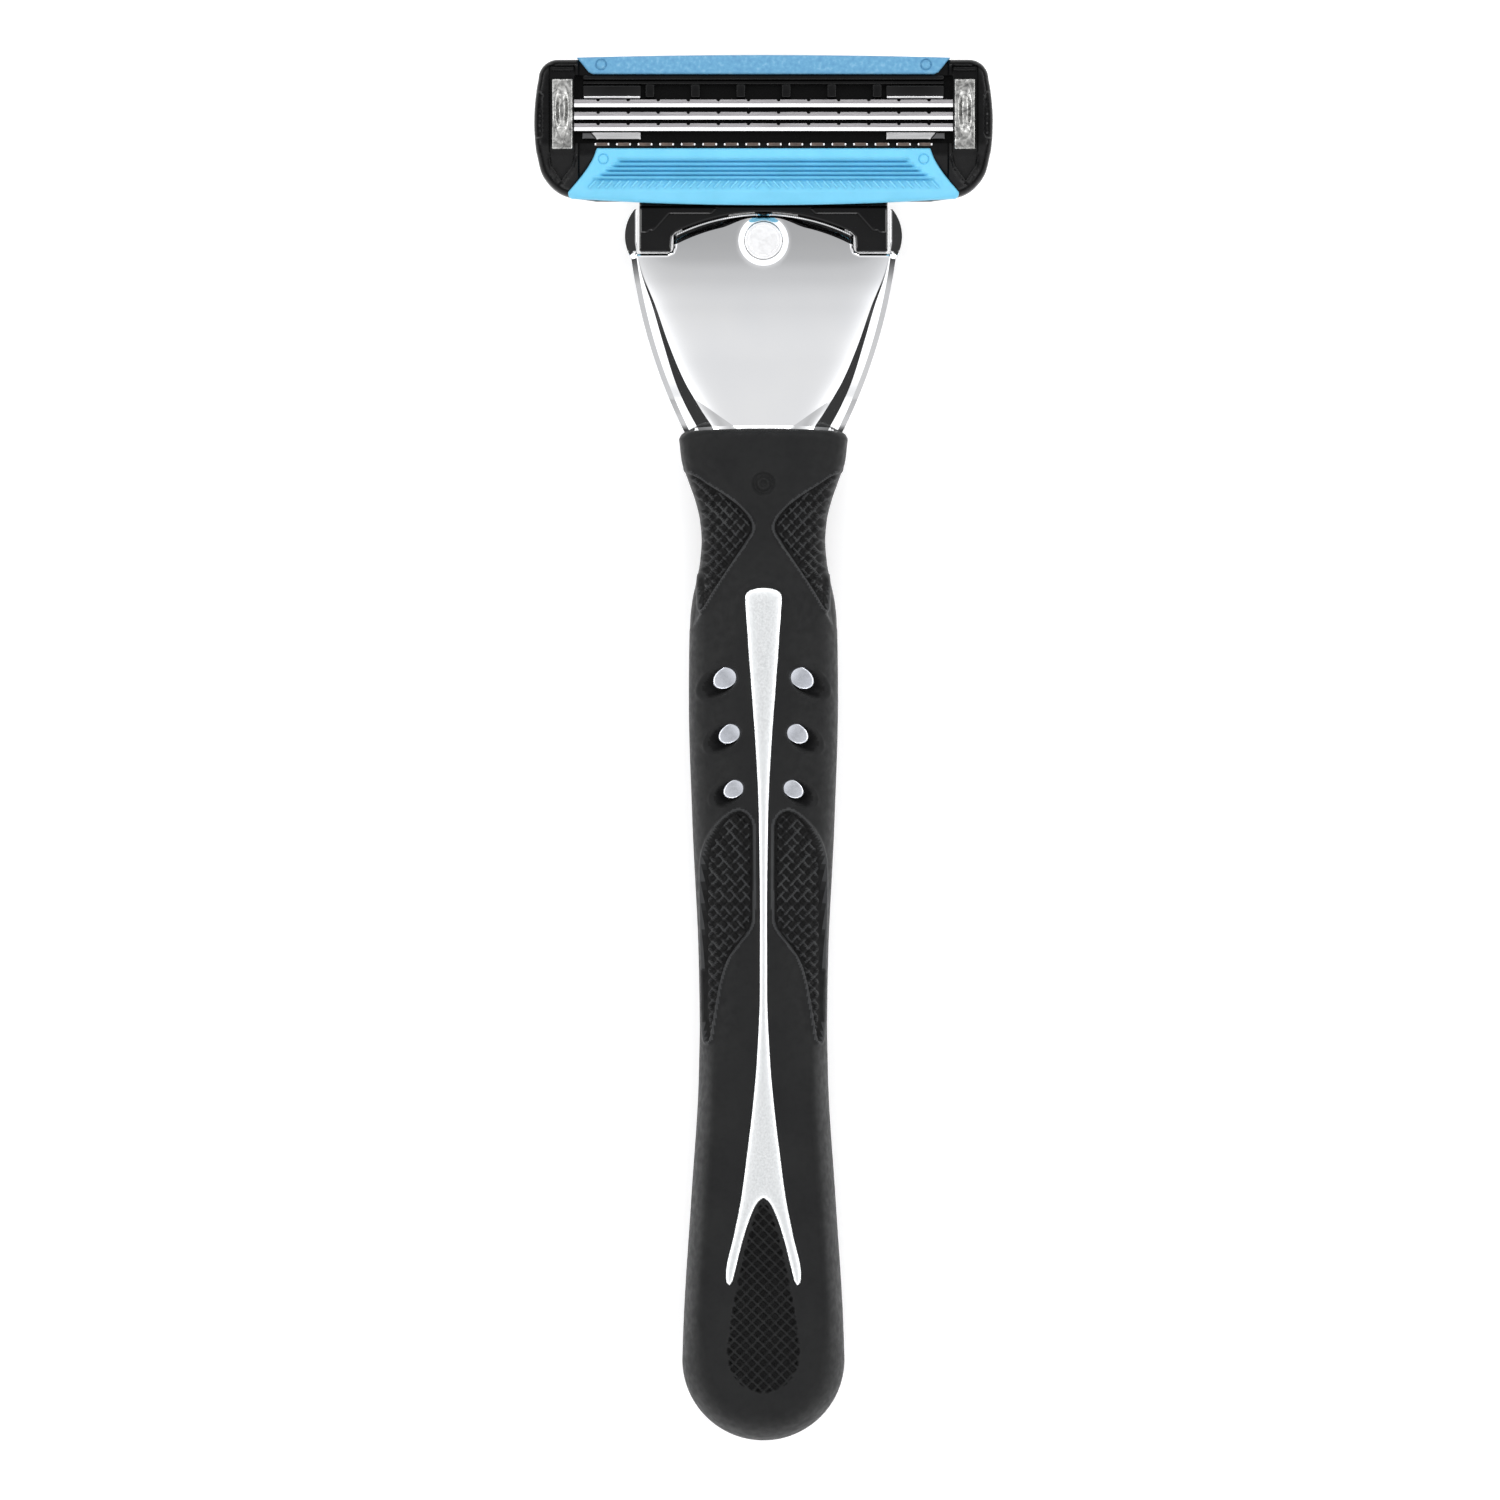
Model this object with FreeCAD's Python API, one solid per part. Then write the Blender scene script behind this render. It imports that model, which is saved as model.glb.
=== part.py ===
"""Cartridge razor: a rubber-gripped metal handle, a release button, and a three-blade
cartridge that tips and pulls off.

Millimetres. The razor lies on its back: +Y runs along the handle to the head, +Z is the
side that the blades face, and +X is the user's right. The origin is at the centre of the
footprint, on the surface that the grip rests on. Every length across X is symmetric.
"""
import FreeCAD, Part
import math
import os

Vector = FreeCAD.Vector

# ---- driving dimensions: handle --------------------------------------------------------
TAIL_RADIUS = 7.56
TAIL_CENTRE_Y = -56.75
GRIP_TOP_Y = 29.8
SECTION_POWER = 2.6          # superellipse exponent of the grip's cross-section
SECTION_POINTS = 16
# along the grip: y, half width, lowest z before the flat is cut, highest z
GRIP_STATIONS = [
    (29.8, 7.50, 1.5, 11.3),
    (28.7, 7.83, 1.1, 11.5),
    (25.0, 7.00, 0.5, 11.2),
    (19.5, 5.79, 0.0, 10.8),
    (13.9, 6.67, -0.4, 11.2),
    (5.0, 6.95, -0.5, 11.4),
    (-12.0, 6.40, -0.5, 10.9),
    (-25.0, 5.93, -0.5, 10.4),
    (-38.0, 6.42, -0.5, 10.4),
    (-50.0, 7.25, -0.5, 10.5),
    (TAIL_CENTRE_Y, TAIL_RADIUS, -0.5, 10.4),
]
TAIL_ANGLES = (28, 50, 68, 81)
TAIL_FULLNESS = 0.55         # how slowly the tail thins as it narrows

SPINE_HALF_WIDTH = 2.8
SPINE_BOTTOM_Z = 3.4
SPINE_TOP_Z = 7.9
SPINE_END_Y = -50.0

TRIM_TOP_Y = 15.05
TRIM_PROUD = 0.15
# down the trim's edge: y, half width
TRIM_EDGE = [(14.1, 1.76), (10.2, 1.50), (-6.5, 0.48), (-17.0, 0.38), (-28.7, 0.65),
             (-37.6, 1.58), (-43.5, 2.45), (-48.7, 3.53)]
TRIM_TIP = (3.10, -49.75)
# up the inside of the fork: y, half width
TRIM_CROTCH = [(-49.2, 2.80), (-45.6, 1.90), (-42.9, 0.98)]
TRIM_CROTCH_Y = -41.6

STUD_PLACES = [(3.40, 6.75, 1.20), (3.00, 1.58, 1.10), (2.63, -3.56, 1.03)]  # x, y, radius
STUD_TOP_Z = 10.1
DIMPLE_SPHERE_RADIUS = 2.2
DIMPLE_DEPTH = 0.75
DIMPLE_SURFACE_Z = 10.85

# ---- driving dimensions: neck ----------------------------------------------------------
NECK_BOTTOM_Y = 28.9
NECK_FRONT = ((28.9, 10.5), (51.0, 14.4))      # y, z at both ends of the front face
NECK_BACK = ((28.9, 2.2), (51.0, 5.4))
NECK_CHAMFER = 1.3
NECK_SHOULDER = (12.25, 45.6)
NECK_SIDE_MID = (10.35, 37.0)
NECK_BASE_HALF_WIDTH = 7.0
EAR_PEAK = (12.84, 47.4)
EAR_TOP = (11.95, 50.1)
EAR_INNER_X = 11.75
NOTCH_BOTTOM_Y = 46.0
NOTCH_INNER_X = 8.35
NOTCH_FLOOR_Z = 7.4
BROW_END = (8.35, 47.75)
BROW_PEAK_Y = 49.73

POCKET_HALF_WIDTH = 7.6
POCKET_BOTTOM_Y = 38.0
POCKET_ROOF_Z = 11.0
COVER_TOP_Z = 6.0
COVER_TOP_Y = 46.6
COVER_GAP = 0.05
MOUTH_BOTTOM_Z = 5.5

# ---- driving dimensions: button and ejector --------------------------------------------
BUTTON_Y = 47.2
BUTTON_RADIUS = 1.74
BUTTON_RUNNING_GAP = 0.05
BUTTON_TOP_Z = 14.35
BUTTON_CHAMFER = 0.2
BUTTON_HEAD_BOTTOM_Z = 12.95
BUTTON_BOSS_RADIUS = 2.15
BUTTON_BOSS_TOP_Z = 14.05
BUTTON_LEDGE_Z = 11.6
BUTTON_LEDGE_HOLE_RADIUS = 1.32
STEM_HALF_WIDTH = 0.85
STEM_HALF_LENGTH = 0.50
BUTTON_SPRING_RADIUS = 1.50
BUTTON_SPRING_WIRE = 0.10    # wire radius
BUTTON_SPRING_TURNS = 3

EJECTOR_HALF_WIDTH = 2.4
EJECTOR_BOTTOM_Z = 8.5
EJECTOR_TOP_Z = 10.4
EJECTOR_BACK_Y = 43.4
EJECTOR_FRONT_Y = 48.55
EJECTOR_SLOT_BACK_Y = 45.0
EJECTOR_SLOT_HALF_WIDTH = 1.05
RAMP_FOOT_Y = 46.1
RAMP_GAP = 0.08

# ---- driving dimensions: guide and plunger ---------------------------------------------
GUIDE_BOTTOM_Z = 6.05
GUIDE_TOP_Z = 8.3
GUIDE_FRONT_Y = 48.9
PLUNGER_Z = 7.25
PLUNGER_RADIUS = 0.80
PLUNGER_RUNNING_GAP = 0.05
PLUNGER_BACK_Y = 45.6
PLUNGER_TIP_Y = 52.2
PLUNGER_BORE_BACK_Y = 39.4
PLUNGER_SPRING_RADIUS = 0.60
PLUNGER_SPRING_WIRE = 0.09
PLUNGER_SPRING_TURNS = 8

# ---- driving dimensions: yoke and cartridge --------------------------------------------
HINGE_Y = 52.6
HINGE_Z = 11.6
YOKE_HALF_WIDTH = 11.5
YOKE_FRONT_Z = 13.0
YOKE_BACK_Z = 8.7
YOKE_ARM_INNER_X = 8.6
YOKE_FOOT_Y = 46.15
YOKE_BARREL_RADIUS = 0.72
YOKE_UNDER_GUARD_Z = 12.1
TONGUE_INNER_X = 3.2
TONGUE_OUTER_X = 7.0
TONGUE_END_Y = 44.6
TONGUE_TOP_Z = 10.75
YOKE_GAP = 0.15
TRUNNION_RADIUS = 0.80
TRUNNION_GAP = 0.05
TRUNNION_END_X = 13.3
FIN_SLOT_HALF_WIDTH = 1.3
FIN_SLOT_Y = 51.4
FIN_SLOT_TOP_Z = 11.25

FRAME_BACK_Z = 12.45
FRAME_FACE_Z = 16.6
CHEEK_TOP_Z = 17.1
FRAME_HALF_WIDTH = 21.2
FRAME_TOP_Y = 63.8
FRAME_CORNER = 1.8
FRAME_TOP_HALF_WIDTH = 20.8
FRAME_WIDEST_Y = 58.5
FRAME_LOWER_CORNER = [(21.0, 55.2), (20.35, 53.0), (18.6, 51.35), (15.5, 50.75)]
BLADE_WINDOW_HALF_WIDTH = 17.5
BLADE_WINDOW_Y = (56.1, 62.0)
WINDOW_FLOOR_Z = 13.5
HINGE_EAR_X = (11.8, 13.6)
HINGE_EAR_RADIUS = 1.45
FIN_HALF_WIDTH = 0.9
FIN_FACE_Y = 52.3
FIN_THICKNESS = 1.0
FIN_BOTTOM_Z = 5.8
RIB_PITCH = 4.2
RIB_COUNT = 8
RIB_HALF_WIDTH = 0.42
POCKET_DEPTH = 0.6

BLADE_EDGE_Y = (59.42, 58.27, 57.22)
BLADE_EDGE_Z = 16.75
BLADE_TILT = 22.0
BLADE_WIDTH = 0.85
BLADE_THICKNESS = 0.12
BLADE_HALF_LENGTH = 18.6
SUPPORT_THICKNESS = 0.20
SUPPORT_LEG_BOTTOM_Z = 13.9
SUPPORT_SETBACK = 0.22       # how far the shelf starts behind the blade's edge

CLIP_X = (17.62, 19.56)
CLIP_Y = (55.5, 62.0)
CLIP_TOP_Z = 17.25
CLIP_THICKNESS = 0.28
CLIP_TAB = 0.9

STRIP_BOTTOM_Z = 15.3
LUBE_TOP_Z = 17.4
LUBE_Y = (62.45, 64.2)
LUBE_HALF_WIDTH = (16.3, 17.3)
GUARD_END = [(15.4, 55.6), (15.85, 54.5), (16.7, 53.2), (18.05, 51.6)]
GUARD_TOE = [(18.0, 51.2), (17.5, 50.98)]
GUARD_LOWEST_Y = 50.43
GUARD_SEAT_Z = 14.2
GUARD_TOP_Z = 17.0
GUARD_RIB_PITCH = 0.41
GUARD_RIB_COUNT = 5
GUARD_RIB_FIRST_Y = 54.57
GUARD_RIB_LENGTHS = (13.5, 15.6)  # half lengths of the first and last rib


# ---- helpers ---------------------------------------------------------------------------
def box(x0, x1, y0, y1, z0, z1):
    """A box between two corners."""
    return Part.makeBox(x1 - x0, y1 - y0, z1 - z0, Vector(x0, y0, z0))


def rod(radius, start, end):
    """A cylinder from one point to another."""
    start = Vector(*start)
    axis = Vector(*end) - start
    return Part.makeCylinder(radius, axis.Length, start, axis)


def both_sides(shape):
    """A shape and its mirror image across X, as one."""
    return shape.fuse(mirrored(shape))


def mirrored(shape):
    """The same shape on the other side of X."""
    return shape.mirror(Vector(0, 0, 0), Vector(1, 0, 0))


def plan_prism(edges, bottom_z, top_z):
    """A closed outline in XY, pushed up from one height to another."""
    face = Part.Face(Part.Wire(edges))
    prism = face.extrude(Vector(0, 0, top_z - bottom_z))
    prism.translate(Vector(0, 0, bottom_z))
    return prism


def side_prism(points, half_width):
    """A closed polygon given in YZ, pushed across X."""
    corners = [Vector(-half_width, y, z) for y, z in points]
    face = Part.Face(Part.makePolygon(corners + corners[:1]))
    return face.extrude(Vector(2 * half_width, 0, 0))


def line(a, b):
    """A straight edge in the XY plane."""
    return Part.LineSegment(Vector(*a, 0), Vector(*b, 0)).toShape()


def arc(a, middle, b):
    """A circular edge in the XY plane through three points."""
    return Part.Arc(Vector(*a, 0), Vector(*middle, 0), Vector(*b, 0)).toShape()


def smooth(points):
    """A smooth edge in the XY plane through the points."""
    curve = Part.BSplineCurve()
    curve.interpolate([Vector(x, y, 0) for x, y in points])
    return curve.toShape()


def flip(point):
    """A point on the other side of X."""
    return (-point[0], point[1])


def coil(radius, wire_radius, length, turns):
    """A helical spring that stands on the origin along +Z."""
    pitch = (length - 2 * wire_radius) / turns
    path = Part.makeHelix(pitch, length - 2 * wire_radius, radius)
    section = Part.Wire(Part.makeCircle(wire_radius, Vector(radius, 0, 0), Vector(0, 1, 0)))
    spring = Part.Wire(path.Edges).makePipeShell([section], True, True)
    spring.translate(Vector(0, 0, wire_radius))
    return spring


# ---- handle ----------------------------------------------------------------------------
def grip_section(y, half_width, bottom_z, top_z, grow):
    """One closed cross-section of the grip, a superellipse."""
    half_height = (top_z - bottom_z) / 2
    centre_z = bottom_z + half_height
    points = []
    for i in range(SECTION_POINTS):
        turn = 2 * math.pi * i / SECTION_POINTS
        across = math.copysign(abs(math.cos(turn)) ** (2 / SECTION_POWER), math.cos(turn))
        up = math.copysign(abs(math.sin(turn)) ** (2 / SECTION_POWER), math.sin(turn))
        points.append(Vector((half_width + grow) * across, y,
                             centre_z + (half_height + grow) * up))
    curve = Part.BSplineCurve()
    curve.interpolate(Points=points, PeriodicFlag=True)
    return Part.Wire(curve.toShape())


def tail_stations():
    """The sections that round the tail off in plan and in thickness."""
    bottom_z, top_z = GRIP_STATIONS[-1][2:]
    centre_z = (bottom_z + top_z) / 2
    stations = []
    for angle in TAIL_ANGLES:
        narrow = math.cos(math.radians(angle))
        half_height = (top_z - bottom_z) / 2 * narrow ** TAIL_FULLNESS
        stations.append((TAIL_CENTRE_Y - TAIL_RADIUS * math.sin(math.radians(angle)),
                         TAIL_RADIUS * narrow, centre_z - half_height, centre_z + half_height))
    return stations


def grip_body(grow=0.0):
    """The grip's outside, before anything is cut from it."""
    stations = GRIP_STATIONS + tail_stations()
    body = Part.makeLoft([grip_section(*station, grow) for station in stations], True, False)
    return body.cut(box(-20, 20, -80, 40, -5, 0))


def trim_outline():
    """The trim's edge, from its square top down to the fork's two points."""
    top = (TRIM_EDGE[0][1], TRIM_EDGE[0][0])
    corner = 0.55
    shoulder = (top[0] - corner, TRIM_TOP_Y)
    round_top = (top[0] - 0.3 * corner, TRIM_TOP_Y - 0.3 * corner)
    outer = [(half, y) for y, half in TRIM_EDGE]
    inner = [(half, y) for y, half in TRIM_CROTCH]
    crotch = (0, TRIM_CROTCH_Y)
    right = [smooth(outer),
             line(outer[-1], TRIM_TIP),
             line(TRIM_TIP, inner[0])]
    left = [edge.mirror(Vector(0, 0, 0), Vector(1, 0, 0)) for edge in right]
    fork = smooth(inner + [crotch] + [flip(p) for p in reversed(inner)])
    head = [arc(top, round_top, shoulder), line(shoulder, flip(shoulder)),
            arc(flip(shoulder), flip(round_top), flip(top))]
    return Part.__sortEdges__(head + left + [fork] + right)


def stud(x, y, radius):
    """One domed disc, seated on the spine and on the rubber beside it."""
    post = rod(radius, (x, y, SPINE_TOP_Z + 0.1), (x, y, STUD_TOP_Z))
    dome_radius = 3.2 * radius
    dome = Part.makeSphere(dome_radius, Vector(x, y, STUD_TOP_Z - dome_radius))
    return post.common(dome)


def dimple(x, y):
    """The bowl that a stud sits in."""
    centre_z = DIMPLE_SURFACE_Z - DIMPLE_DEPTH + DIMPLE_SPHERE_RADIUS
    return Part.makeSphere(DIMPLE_SPHERE_RADIUS, Vector(x, y, centre_z))


def spine():
    """The bar that the grip is moulded round, with one rounded end."""
    bar = box(-SPINE_HALF_WIDTH, SPINE_HALF_WIDTH, SPINE_END_Y, NECK_BOTTOM_Y + 2,
              SPINE_BOTTOM_Z, SPINE_TOP_Z)
    end = rod(SPINE_HALF_WIDTH, (0, SPINE_END_Y, SPINE_BOTTOM_Z), (0, SPINE_END_Y, SPINE_TOP_Z))
    return bar.fuse(end)


def grip(trim_prism, studs):
    """The rubber, moulded over the spine, the trim's root and the studs."""
    body = grip_body()
    body = body.cut(spine())
    body = body.cut(trim_prism)
    for x, y, radius in STUD_PLACES:
        for side in (1, -1):
            body = body.cut(dimple(side * x, y))
    for piece in studs:
        body = body.cut(piece)
    return body


# ---- neck ------------------------------------------------------------------------------
def height_at(line_ends, y):
    """Height of a sloping face at y."""
    (y0, z0), (y1, z1) = line_ends
    return z0 + (z1 - z0) * (y - y0) / (y1 - y0)


def neck_plan():
    """The neck's outline: a fan with a notch each side of its curved top edge."""
    corner = 0.6
    base = (NECK_BASE_HALF_WIDTH, NECK_BOTTOM_Y)
    notch_out = (EAR_INNER_X, NOTCH_BOTTOM_Y)
    notch_in = (NOTCH_INNER_X + corner, NOTCH_BOTTOM_Y)
    notch_round = (NOTCH_INNER_X + 0.3 * corner, NOTCH_BOTTOM_Y + 0.3 * corner)
    notch_up = (NOTCH_INNER_X, NOTCH_BOTTOM_Y + corner)
    ear_inner_top = (EAR_INNER_X, EAR_TOP[1])
    right = [arc(base, NECK_SIDE_MID, NECK_SHOULDER),
             arc(NECK_SHOULDER, EAR_PEAK, EAR_TOP),
             line(EAR_TOP, ear_inner_top),
             line(ear_inner_top, notch_out),
             line(notch_out, notch_in),
             arc(notch_in, notch_round, notch_up),
             line(notch_up, BROW_END)]
    left = [edge.mirror(Vector(0, 0, 0), Vector(1, 0, 0)) for edge in right]
    brow = arc(BROW_END, (0, BROW_PEAK_Y), flip(BROW_END))
    return Part.__sortEdges__(right + [brow] + left + [line(flip(base), base)])


def neck_section(y, half_width):
    """The neck's chamfered cross-section at y, seen along Y."""
    top = height_at(NECK_FRONT, y)
    bottom = height_at(NECK_BACK, y)
    cut = NECK_CHAMFER
    profile = [(half_width, bottom + cut), (half_width, top - cut), (half_width - cut, top),
               (cut - half_width, top), (-half_width, top - cut), (-half_width, bottom + cut),
               (cut - half_width, bottom), (half_width - cut, bottom)]
    corners = [Vector(x, y, z) for x, z in profile]
    return Part.makePolygon(corners + corners[:1])


def neck_body():
    """The fan-shaped neck, with the spine it is cast with."""
    ends = [neck_section(NECK_FRONT[0][0], NECK_BASE_HALF_WIDTH + 0.7),
            neck_section(NECK_FRONT[1][0], EAR_PEAK[0] + 1.2)]
    wedge = Part.makeLoft(ends, True, True)
    body = wedge.common(plan_prism(neck_plan(), 0, 20))
    boss = rod(BUTTON_BOSS_RADIUS, (0, BUTTON_Y, POCKET_ROOF_Z), (0, BUTTON_Y, BUTTON_BOSS_TOP_Z))
    return body.fuse(boss).fuse(spine())


def handle_core():
    """The metal casting, hollowed for the button, the ejector, the guide and the yoke."""
    body = neck_body()
    body = body.cut(box(-POCKET_HALF_WIDTH, POCKET_HALF_WIDTH, POCKET_BOTTOM_Y, 60,
                        MOUTH_BOTTOM_Z, POCKET_ROOF_Z))
    body = body.cut(box(-POCKET_HALF_WIDTH, POCKET_HALF_WIDTH, POCKET_BOTTOM_Y, COVER_TOP_Y,
                        0, MOUTH_BOTTOM_Z + 1))
    notch = box(NOTCH_INNER_X - 1.5, EAR_INNER_X, NOTCH_BOTTOM_Y, 60, NOTCH_FLOOR_Z, POCKET_ROOF_Z)
    body = body.cut(both_sides(notch))
    bore = BUTTON_RADIUS + BUTTON_RUNNING_GAP
    body = body.cut(rod(bore, (0, BUTTON_Y, BUTTON_LEDGE_Z), (0, BUTTON_Y, 20)))
    return body.cut(rod(BUTTON_LEDGE_HOLE_RADIUS, (0, BUTTON_Y, 5), (0, BUTTON_Y, 20)))


def neck_back_cover():
    """The plate that closes the pocket behind the mechanism."""
    half = POCKET_HALF_WIDTH - COVER_GAP
    low_y = POCKET_BOTTOM_Y + COVER_GAP
    high_y = COVER_TOP_Y - COVER_GAP
    outline = [(low_y, height_at(NECK_BACK, low_y)), (high_y, height_at(NECK_BACK, high_y)),
               (high_y, COVER_TOP_Z), (low_y, COVER_TOP_Z)]
    return side_prism(outline, half)


# ---- button, ejector, plunger ----------------------------------------------------------
def ramp_height(y):
    """Height of the ejector's ramp, which climbs at 45 degrees towards the head."""
    return EJECTOR_BOTTOM_Z + (y - RAMP_FOOT_Y)


def release_button():
    """A chamfered head on a square stem whose foot is cut to match the ejector's ramp."""
    rim_z = BUTTON_TOP_Z - BUTTON_CHAMFER
    head = rod(BUTTON_RADIUS, (0, BUTTON_Y, BUTTON_HEAD_BOTTOM_Z), (0, BUTTON_Y, rim_z))
    head = head.fuse(Part.makeCone(BUTTON_RADIUS, BUTTON_RADIUS - BUTTON_CHAMFER, BUTTON_CHAMFER,
                                   Vector(0, BUTTON_Y, rim_z)))
    low_y = BUTTON_Y - STEM_HALF_LENGTH
    high_y = BUTTON_Y + STEM_HALF_LENGTH
    foot = [(low_y, ramp_height(low_y) + RAMP_GAP), (high_y, ramp_height(high_y) + RAMP_GAP),
            (high_y, BUTTON_HEAD_BOTTOM_Z), (low_y, BUTTON_HEAD_BOTTOM_Z)]
    return head.fuse(side_prism(foot, STEM_HALF_WIDTH))


def button_spring():
    """The coil under the button's head, round its stem."""
    spring = coil(BUTTON_SPRING_RADIUS, BUTTON_SPRING_WIRE,
                  BUTTON_HEAD_BOTTOM_Z - BUTTON_LEDGE_Z - 0.06, BUTTON_SPRING_TURNS)
    spring.translate(Vector(0, BUTTON_Y, BUTTON_LEDGE_Z + 0.03))
    return spring


def ejector():
    """A sliding plate with a ramp in its slot and a nose that pushes the yoke off."""
    body = box(-EJECTOR_HALF_WIDTH, EJECTOR_HALF_WIDTH, EJECTOR_BACK_Y, EJECTOR_FRONT_Y,
               EJECTOR_BOTTOM_Z, EJECTOR_TOP_Z)
    ramp_top_y = RAMP_FOOT_Y + EJECTOR_TOP_Z - EJECTOR_BOTTOM_Z
    over = 0.5
    slot = [(EJECTOR_SLOT_BACK_Y, EJECTOR_BOTTOM_Z - over), (RAMP_FOOT_Y - over, EJECTOR_BOTTOM_Z - over),
            (ramp_top_y + over, EJECTOR_TOP_Z + over), (EJECTOR_SLOT_BACK_Y, EJECTOR_TOP_Z + over)]
    return body.cut(side_prism(slot, EJECTOR_SLOT_HALF_WIDTH))


def ejector_guide():
    """The moulded bed that the ejector slides on, bored for the plunger."""
    inner_y = POCKET_BOTTOM_Y + 0.1
    body = box(0.1 - POCKET_HALF_WIDTH, POCKET_HALF_WIDTH - 0.1, inner_y, GUIDE_FRONT_Y,
               GUIDE_BOTTOM_Z, GUIDE_TOP_Z)
    rail = box(EJECTOR_HALF_WIDTH + 0.1, EJECTOR_HALF_WIDTH + 0.6, inner_y, TONGUE_END_Y + 3.0,
               GUIDE_TOP_Z - 0.1, EJECTOR_TOP_Z)
    body = body.fuse(both_sides(rail))
    back_stop = box(-POCKET_HALF_WIDTH + 0.1, POCKET_HALF_WIDTH - 0.1, inner_y, TONGUE_END_Y - 1.6,
                    GUIDE_TOP_Z - 0.1, EJECTOR_TOP_Z)
    body = body.fuse(back_stop)
    return body.cut(rod(PLUNGER_RADIUS + PLUNGER_RUNNING_GAP,
                        (0, PLUNGER_BORE_BACK_Y, PLUNGER_Z), (0, GUIDE_FRONT_Y + 1, PLUNGER_Z)))


def plunger():
    """The round-nosed pin that pushes the cartridge's fin back after it tips."""
    nose_y = PLUNGER_TIP_Y - PLUNGER_RADIUS
    body = rod(PLUNGER_RADIUS, (0, PLUNGER_BACK_Y, PLUNGER_Z), (0, nose_y, PLUNGER_Z))
    return body.fuse(Part.makeSphere(PLUNGER_RADIUS, Vector(0, nose_y, PLUNGER_Z)))


def plunger_spring():
    """The coil behind the plunger, in the same bore."""
    spring = coil(PLUNGER_SPRING_RADIUS, PLUNGER_SPRING_WIRE,
                  PLUNGER_BACK_Y - PLUNGER_BORE_BACK_Y - 0.1, PLUNGER_SPRING_TURNS)
    spring.rotate(Vector(0, 0, 0), Vector(1, 0, 0), -90)
    spring.translate(Vector(0, PLUNGER_BORE_BACK_Y + 0.05, PLUNGER_Z))
    return spring


# ---- yoke ------------------------------------------------------------------------------
def yoke_web():
    """The plate that fits the neck's curved top edge, and the barrel along the hinge."""
    brow_end = (YOKE_ARM_INNER_X + 0.4, BROW_END[1] + YOKE_GAP)
    brow_peak = (0, BROW_PEAK_Y + YOKE_GAP)
    top_y = HINGE_Y
    outline = [arc(brow_end, brow_peak, flip(brow_end)),
               line(flip(brow_end), (-YOKE_ARM_INNER_X - 0.4, top_y)),
               line((-YOKE_ARM_INNER_X - 0.4, top_y), (YOKE_ARM_INNER_X + 0.4, top_y)),
               line((YOKE_ARM_INNER_X + 0.4, top_y), brow_end)]
    web = plan_prism(outline, YOKE_BACK_Z, YOKE_UNDER_GUARD_Z)
    barrel = rod(YOKE_BARREL_RADIUS, (-YOKE_HALF_WIDTH, HINGE_Y, HINGE_Z),
                 (YOKE_HALF_WIDTH, HINGE_Y, HINGE_Z))
    return web.fuse(barrel)


def yoke_arm():
    """The right arm: from its foot in the neck's notch to the hinge barrel."""
    step_y = 50.35
    outline = [(YOKE_FOOT_Y, NOTCH_FLOOR_Z + YOKE_GAP), (HINGE_Y, YOKE_BACK_Z + 1.2),
               (HINGE_Y, YOKE_UNDER_GUARD_Z), (step_y, YOKE_UNDER_GUARD_Z),
               (step_y, YOKE_FRONT_Z - 0.1), (YOKE_FOOT_Y, YOKE_FRONT_Z - 0.5)]
    arm = side_prism(outline, YOKE_HALF_WIDTH)
    return arm.common(box(YOKE_ARM_INNER_X, YOKE_HALF_WIDTH, 40, 60, 0, 20))


def connector_yoke():
    """The moulded yoke: two tongues for the neck, two arms, a web and two trunnions."""
    body = yoke_web().fuse(both_sides(yoke_arm()))
    tongue = box(TONGUE_INNER_X, TONGUE_OUTER_X, TONGUE_END_Y, HINGE_Y - 2.0,
                 YOKE_BACK_Z, TONGUE_TOP_Z)
    body = body.fuse(both_sides(tongue))
    body = body.cut(box(-FIN_SLOT_HALF_WIDTH, FIN_SLOT_HALF_WIDTH, 49, 60, 0, FIN_SLOT_TOP_Z))
    body = body.cut(box(-FIN_SLOT_HALF_WIDTH, FIN_SLOT_HALF_WIDTH, FIN_SLOT_Y, 60, 0, 20))
    trunnion = rod(TRUNNION_RADIUS, (YOKE_HALF_WIDTH - 1, HINGE_Y, HINGE_Z),
                   (TRUNNION_END_X, HINGE_Y, HINGE_Z))
    return body.fuse(both_sides(trunnion)).removeSplitter()


# ---- cartridge -------------------------------------------------------------------------
def frame_plan():
    """The cartridge's outline: tight upper corners and long lower ones."""
    top_y = FRAME_TOP_Y
    corner = FRAME_CORNER
    diagonal = corner * (1 - math.sqrt(0.5))
    corner_start = (FRAME_TOP_HALF_WIDTH - corner, top_y)
    corner_middle = (FRAME_TOP_HALF_WIDTH - diagonal, top_y - diagonal)
    corner_end = (FRAME_TOP_HALF_WIDTH, top_y - corner)
    shoulder, *_, heel = FRAME_LOWER_CORNER
    right = [line(corner_start, flip(corner_start)),
             arc(corner_start, corner_middle, corner_end),
             arc(corner_end, (FRAME_HALF_WIDTH, FRAME_WIDEST_Y), shoulder),
             smooth(FRAME_LOWER_CORNER),
             line(heel, flip(heel))]
    left = [edge.mirror(Vector(0, 0, 0), Vector(1, 0, 0)) for edge in right[1:4]]
    return Part.__sortEdges__(right + left)


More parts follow.
